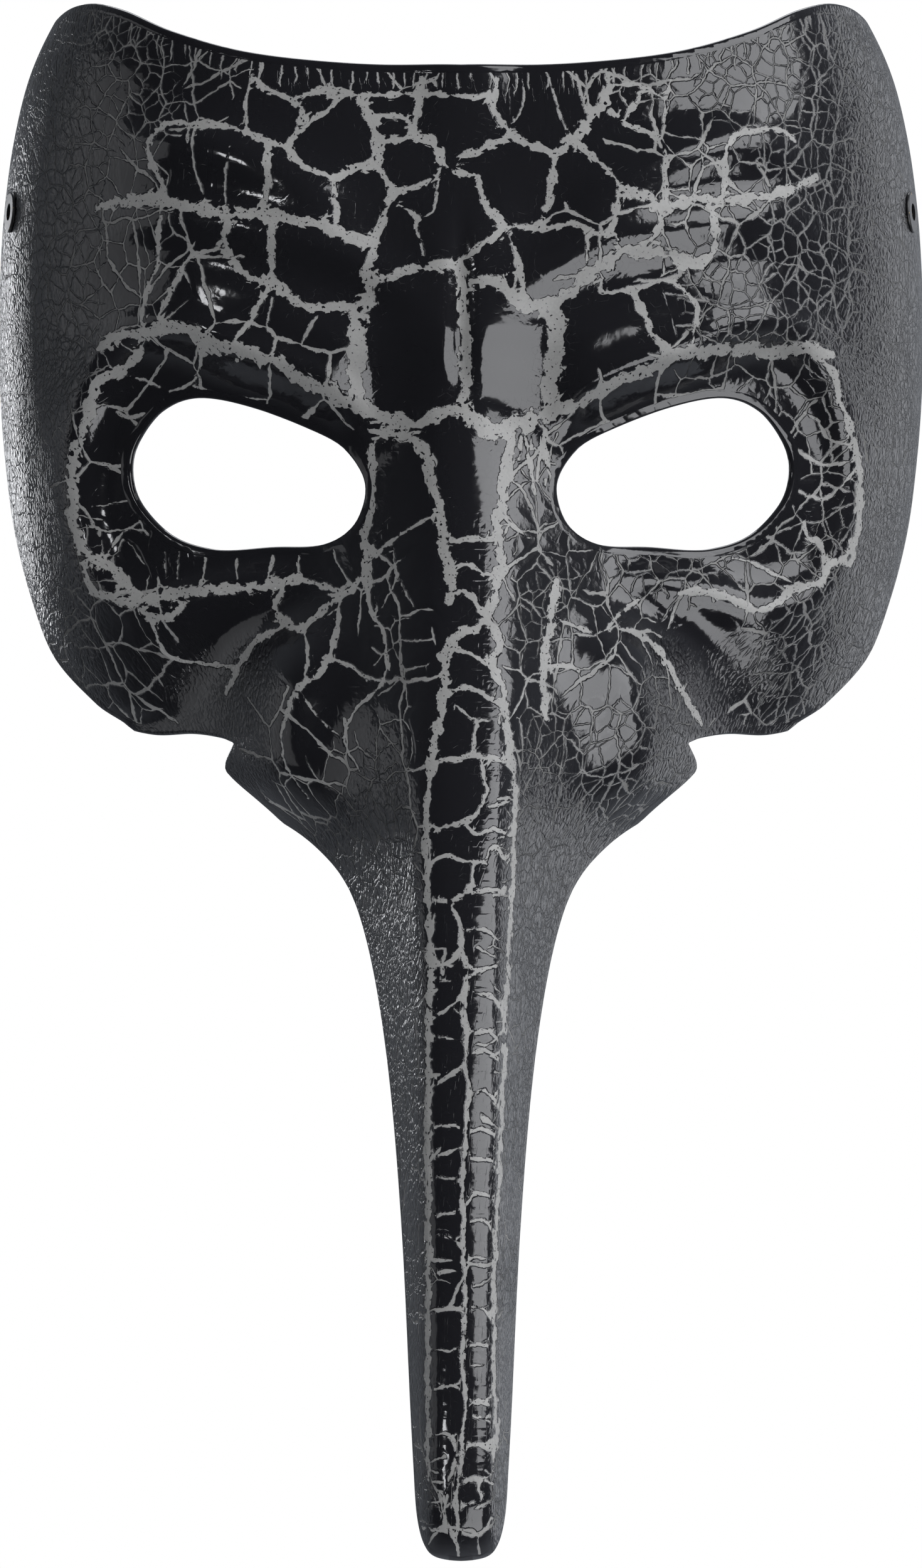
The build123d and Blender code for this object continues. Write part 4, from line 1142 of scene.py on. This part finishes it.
def stitches():
    """Two rows of zigzag stitches across each fold, on both faces."""
    length = 2 * strap_half_length()
    rows, reach, zigzag, count, proud = (13.0, 16.0), 4.6, 0.55, 15, 0.03
    curve = bpy.data.curves.new("strap_stitching", "CURVE")
    curve.dimensions = "3D"
    curve.bevel_depth = STITCH_RADIUS * MM
    curve.bevel_resolution = 2
    w = np.linspace(-reach, reach, count)
    side_step = zigzag * (-1.0) ** np.arange(count)
    for row in rows:
        for s in (row + side_step, length - row - side_step):
            for outward in (STRAP_THICKNESS + RIB_HEIGHT + proud, -STRAP_THICKNESS - proud):
                line = strap_point(s, w, outward) * MM
                spline = curve.splines.new("POLY")
                spline.points.add(count - 1)
                for point, place in zip(spline.points, line):
                    point.co = (*place, 1)
    source = bpy.data.objects.new("stitching_curve", curve)
    data = bpy.data.meshes.new_from_object(source)
    bpy.data.objects.remove(source)
    piece = shown("strap_stitching", data, sewing_thread())
    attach(piece, "strap")


def shown(name, data, material):
    """A new piece in the scene with one material on all its faces."""
    piece = bpy.data.objects.new(name, data)
    bpy.context.scene.collection.objects.link(piece)
    data.materials.clear()
    data.materials.append(material)
    return piece


# ---------------------------------------------------------------- foam pads
PAD_VOXEL = 1.3
PAD_DRAWN_IN = 0.75               # the pad starts smaller, then swells
PAD_SWELL = 0.7
PAD_PRESSURE = 4.0
PAD_FRAMES = 20


def evaluated(piece):
    graph = bpy.context.evaluated_depsgraph_get()
    return bpy.data.meshes.new_from_object(piece.evaluated_get(graph))


def places_of(data):
    places = np.empty(len(data.vertices) * 3)
    data.vertices.foreach_get("co", places)
    return places.reshape(-1, 3)


def pad(node_name, material):
    """A foam pad with a knit face: the CAD slab drawn in, then swollen by a cloth simulation."""
    piece = shown(node_name + "_cover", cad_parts[node_name].data.copy(), material)
    weld = piece.modifiers.new("weld", "WELD")
    weld.merge_threshold = 0.01 * MM
    shrink = piece.modifiers.new("shrink", "DISPLACE")
    shrink.strength = -PAD_DRAWN_IN * MM
    shrink.mid_level = 0
    remesh = piece.modifiers.new("remesh", "REMESH")
    remesh.voxel_size = PAD_VOXEL * MM
    settle = piece.modifiers.new("settle", "SMOOTH")
    settle.iterations = 6
    piece.data = evaluated(piece)
    piece.modifiers.clear()
    swell(piece)
    subdivide = piece.modifiers.new("subdivide", "SUBSURF")
    subdivide.levels = 1
    piece.data = evaluated(piece)
    piece.modifiers.clear()
    piece.data.polygons.foreach_set("use_smooth", np.ones(len(piece.data.polygons), bool))
    piece.data.materials.clear()
    piece.data.materials.append(material)
    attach(piece, "mask")
    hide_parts(node_name)


def swell(piece):
    """Puffs the pad up by cloth pressure, no vertex further than PAD_SWELL."""
    rest = places_of(piece.data)
    cloth = piece.modifiers.new("cloth", "CLOTH")
    cloth.settings.use_pressure = True
    cloth.settings.uniform_pressure_force = PAD_PRESSURE
    cloth.settings.effector_weights.gravity = 0
    for step in range(1, PAD_FRAMES + 1):
        bpy.context.scene.frame_set(step)
    puffed = evaluated(piece)
    moved = places_of(puffed) - rest
    far = np.linalg.norm(moved, axis=1, keepdims=True)
    moved *= np.minimum(1, PAD_SWELL * MM / np.maximum(far, 1e-9))
    puffed.vertices.foreach_set("co", (rest + moved).ravel())
    piece.modifiers.clear()
    bpy.context.scene.frame_set(1)
    piece.data = puffed


# ---------------------------------------------------------------- stage, light and camera
# metres here, as Blender has them
FLOOR_Z = -0.25
FLOOR_RADIUS = 0.5
FLOOR_CENTRE_Y = -0.15
BACKDROP_TINT = (0.84, 0.9, 1.0, 1)
LIGHT_TINT = (0.96, 0.97, 1.0)
CAMERA_HEIGHT = -0.0594
CAMERA_DISTANCE = 2.0
CAMERA_LENS = 160                 # millimetres of focal length, on a sensor 24 mm high
SENSOR_HEIGHT = 24


def direction(azimuth, elevation):
    """Unit vector; azimuth 0 is in front of the mask and grows towards +X."""
    a, e = math.radians(azimuth), math.radians(elevation)
    return Vector((math.sin(a) * math.cos(e), -math.cos(a) * math.cos(e), math.sin(e)))


def softbox(name, azimuth, elevation, distance, size, radiance, glossy=True, diffuse=True):
    """A soft rectangular light that looks at the mask from a direction."""
    lamp = bpy.data.lights.new(name, "AREA")
    lamp.shape = "RECTANGLE"
    lamp.size, lamp.size_y = size
    lamp.energy = radiance * math.pi * size[0] * size[1]
    lamp.color = LIGHT_TINT
    holder = bpy.data.objects.new(name, lamp)
    target = Vector((0, 0, 0))
    holder.location = target + direction(azimuth, elevation) * distance
    holder.rotation_euler = (target - holder.location).to_track_quat("-Z", "Y").to_euler()
    holder.visible_camera = False
    holder.visible_glossy = glossy
    holder.visible_diffuse = diffuse
    bpy.context.scene.collection.objects.link(holder)


def backdrop():
    """White behind the mask, dim in front of it, and plain white to the camera."""
    world = bpy.data.worlds.new("backdrop")
    bpy.context.scene.world = world
    world.use_nodes = True
    tree = world.node_tree
    tree.nodes.clear()
    side, depth, _ = node(tree, "TexCoord", {}, output="Generated").parts()
    glow = depth.ramp(-0.35, 0.6) * (side.ramp(-0.5, 0.5) * 0.16 + 0.19) + 0.025
    light = node(tree, "Background", {}, BACKDROP_TINT, glow)
    seen = node(tree, "Background", {}, (1, 1, 1, 1), 1.0)
    to_camera = node(tree, "LightPath", {}, output="Is Camera Ray")
    mixed = node(tree, "MixShader", {}, to_camera, light, seen)
    output = tree.nodes.new("ShaderNodeOutputWorld")
    tree.links.new(mixed.socket, output.inputs["Surface"])


def floor():
    data = bpy.data.meshes.new("floor")
    count = 96
    turns = [2 * math.pi * i / count for i in range(count)]
    ring = [(FLOOR_RADIUS * math.cos(turn), FLOOR_CENTRE_Y + FLOOR_RADIUS * math.sin(turn), FLOOR_Z)
            for turn in turns]
    data.from_pydata(ring, [], [tuple(range(count))])
    material, tree, surface = new_material("pale_floor")
    at = own_place(tree)
    grain = noise(tree, at, 30.0)
    colour = blended(tree, grain, (0.86, 0.86, 0.86), (0.9, 0.9, 0.9))
    finish_surface(tree, surface, colour, grain * 0.1 + 0.7, grain * 0.02)
    piece = shown("floor", data, material)
    piece.visible_glossy = False


def camera():
    data = bpy.data.cameras.new("camera")
    data.sensor_fit = "VERTICAL"
    data.sensor_height = SENSOR_HEIGHT
    data.lens = CAMERA_LENS
    data.clip_start = 0.05
    data.clip_end = 20
    view = bpy.data.objects.new("camera", data)
    view.location = (0, -CAMERA_DISTANCE, CAMERA_HEIGHT)
    view.rotation_euler = (math.radians(90), 0, 0)
    bpy.context.scene.collection.objects.link(view)
    bpy.context.scene.camera = view


def lights():
    """Each softbox: name, azimuth, elevation, distance, width and height, radiance."""
    softbox("key", 59, 37, 1.2, (1.05, 0.56), 5.0)
    softbox("low_card", 39, -33, 1.2, (0.87, 1.15), 4.7, diffuse=False)
    softbox("glint", -40, 12, 1.2, (0.16, 0.16), 14.0, diffuse=False)
    softbox("middle_card", 58, 17, 1.2, (0.72, 0.3), 4.7, diffuse=False)
    softbox("fill", 10, 12, 1.6, (1.6, 1.2), 1.3, glossy=False)
    softbox("overhead", 0, 80, 1.6, (1.4, 1.4), 0.7, glossy=False)
    softbox("left_card", -92, 8, 1.2, (0.9, 0.8), 0.6, diffuse=False)
    softbox("right_strip", 128, 0, 1.0, (0.75, 1.0), 1.0)
    softbox("left_strip", -150, 2, 0.6, (0.1, 0.15), 5.5, diffuse=False)
    softbox("back", 180, 50, 1.4, (0.9, 0.5), 4.0)


def main():
    camera()
    bpy.context.scene.view_settings.view_transform = "Standard"
    mask()
    strap()
    foam = knit_foam()
    for name in ("brow_pad", "cheek_pad_left", "cheek_pad_right"):
        pad(name, foam)
    metals = {"eyelet": worn_enamel("eyelet_metal", (0.012, 0.012, 0.013)),
              "washer": worn_enamel("washer_metal", (0.018, 0.018, 0.019))}
    for name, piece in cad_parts.items():
        kind = name.split("_")[0]
        if kind in metals:
            piece.data.materials.clear()
            piece.data.materials.append(metals[kind])
    floor()
    backdrop()
    lights()


main()
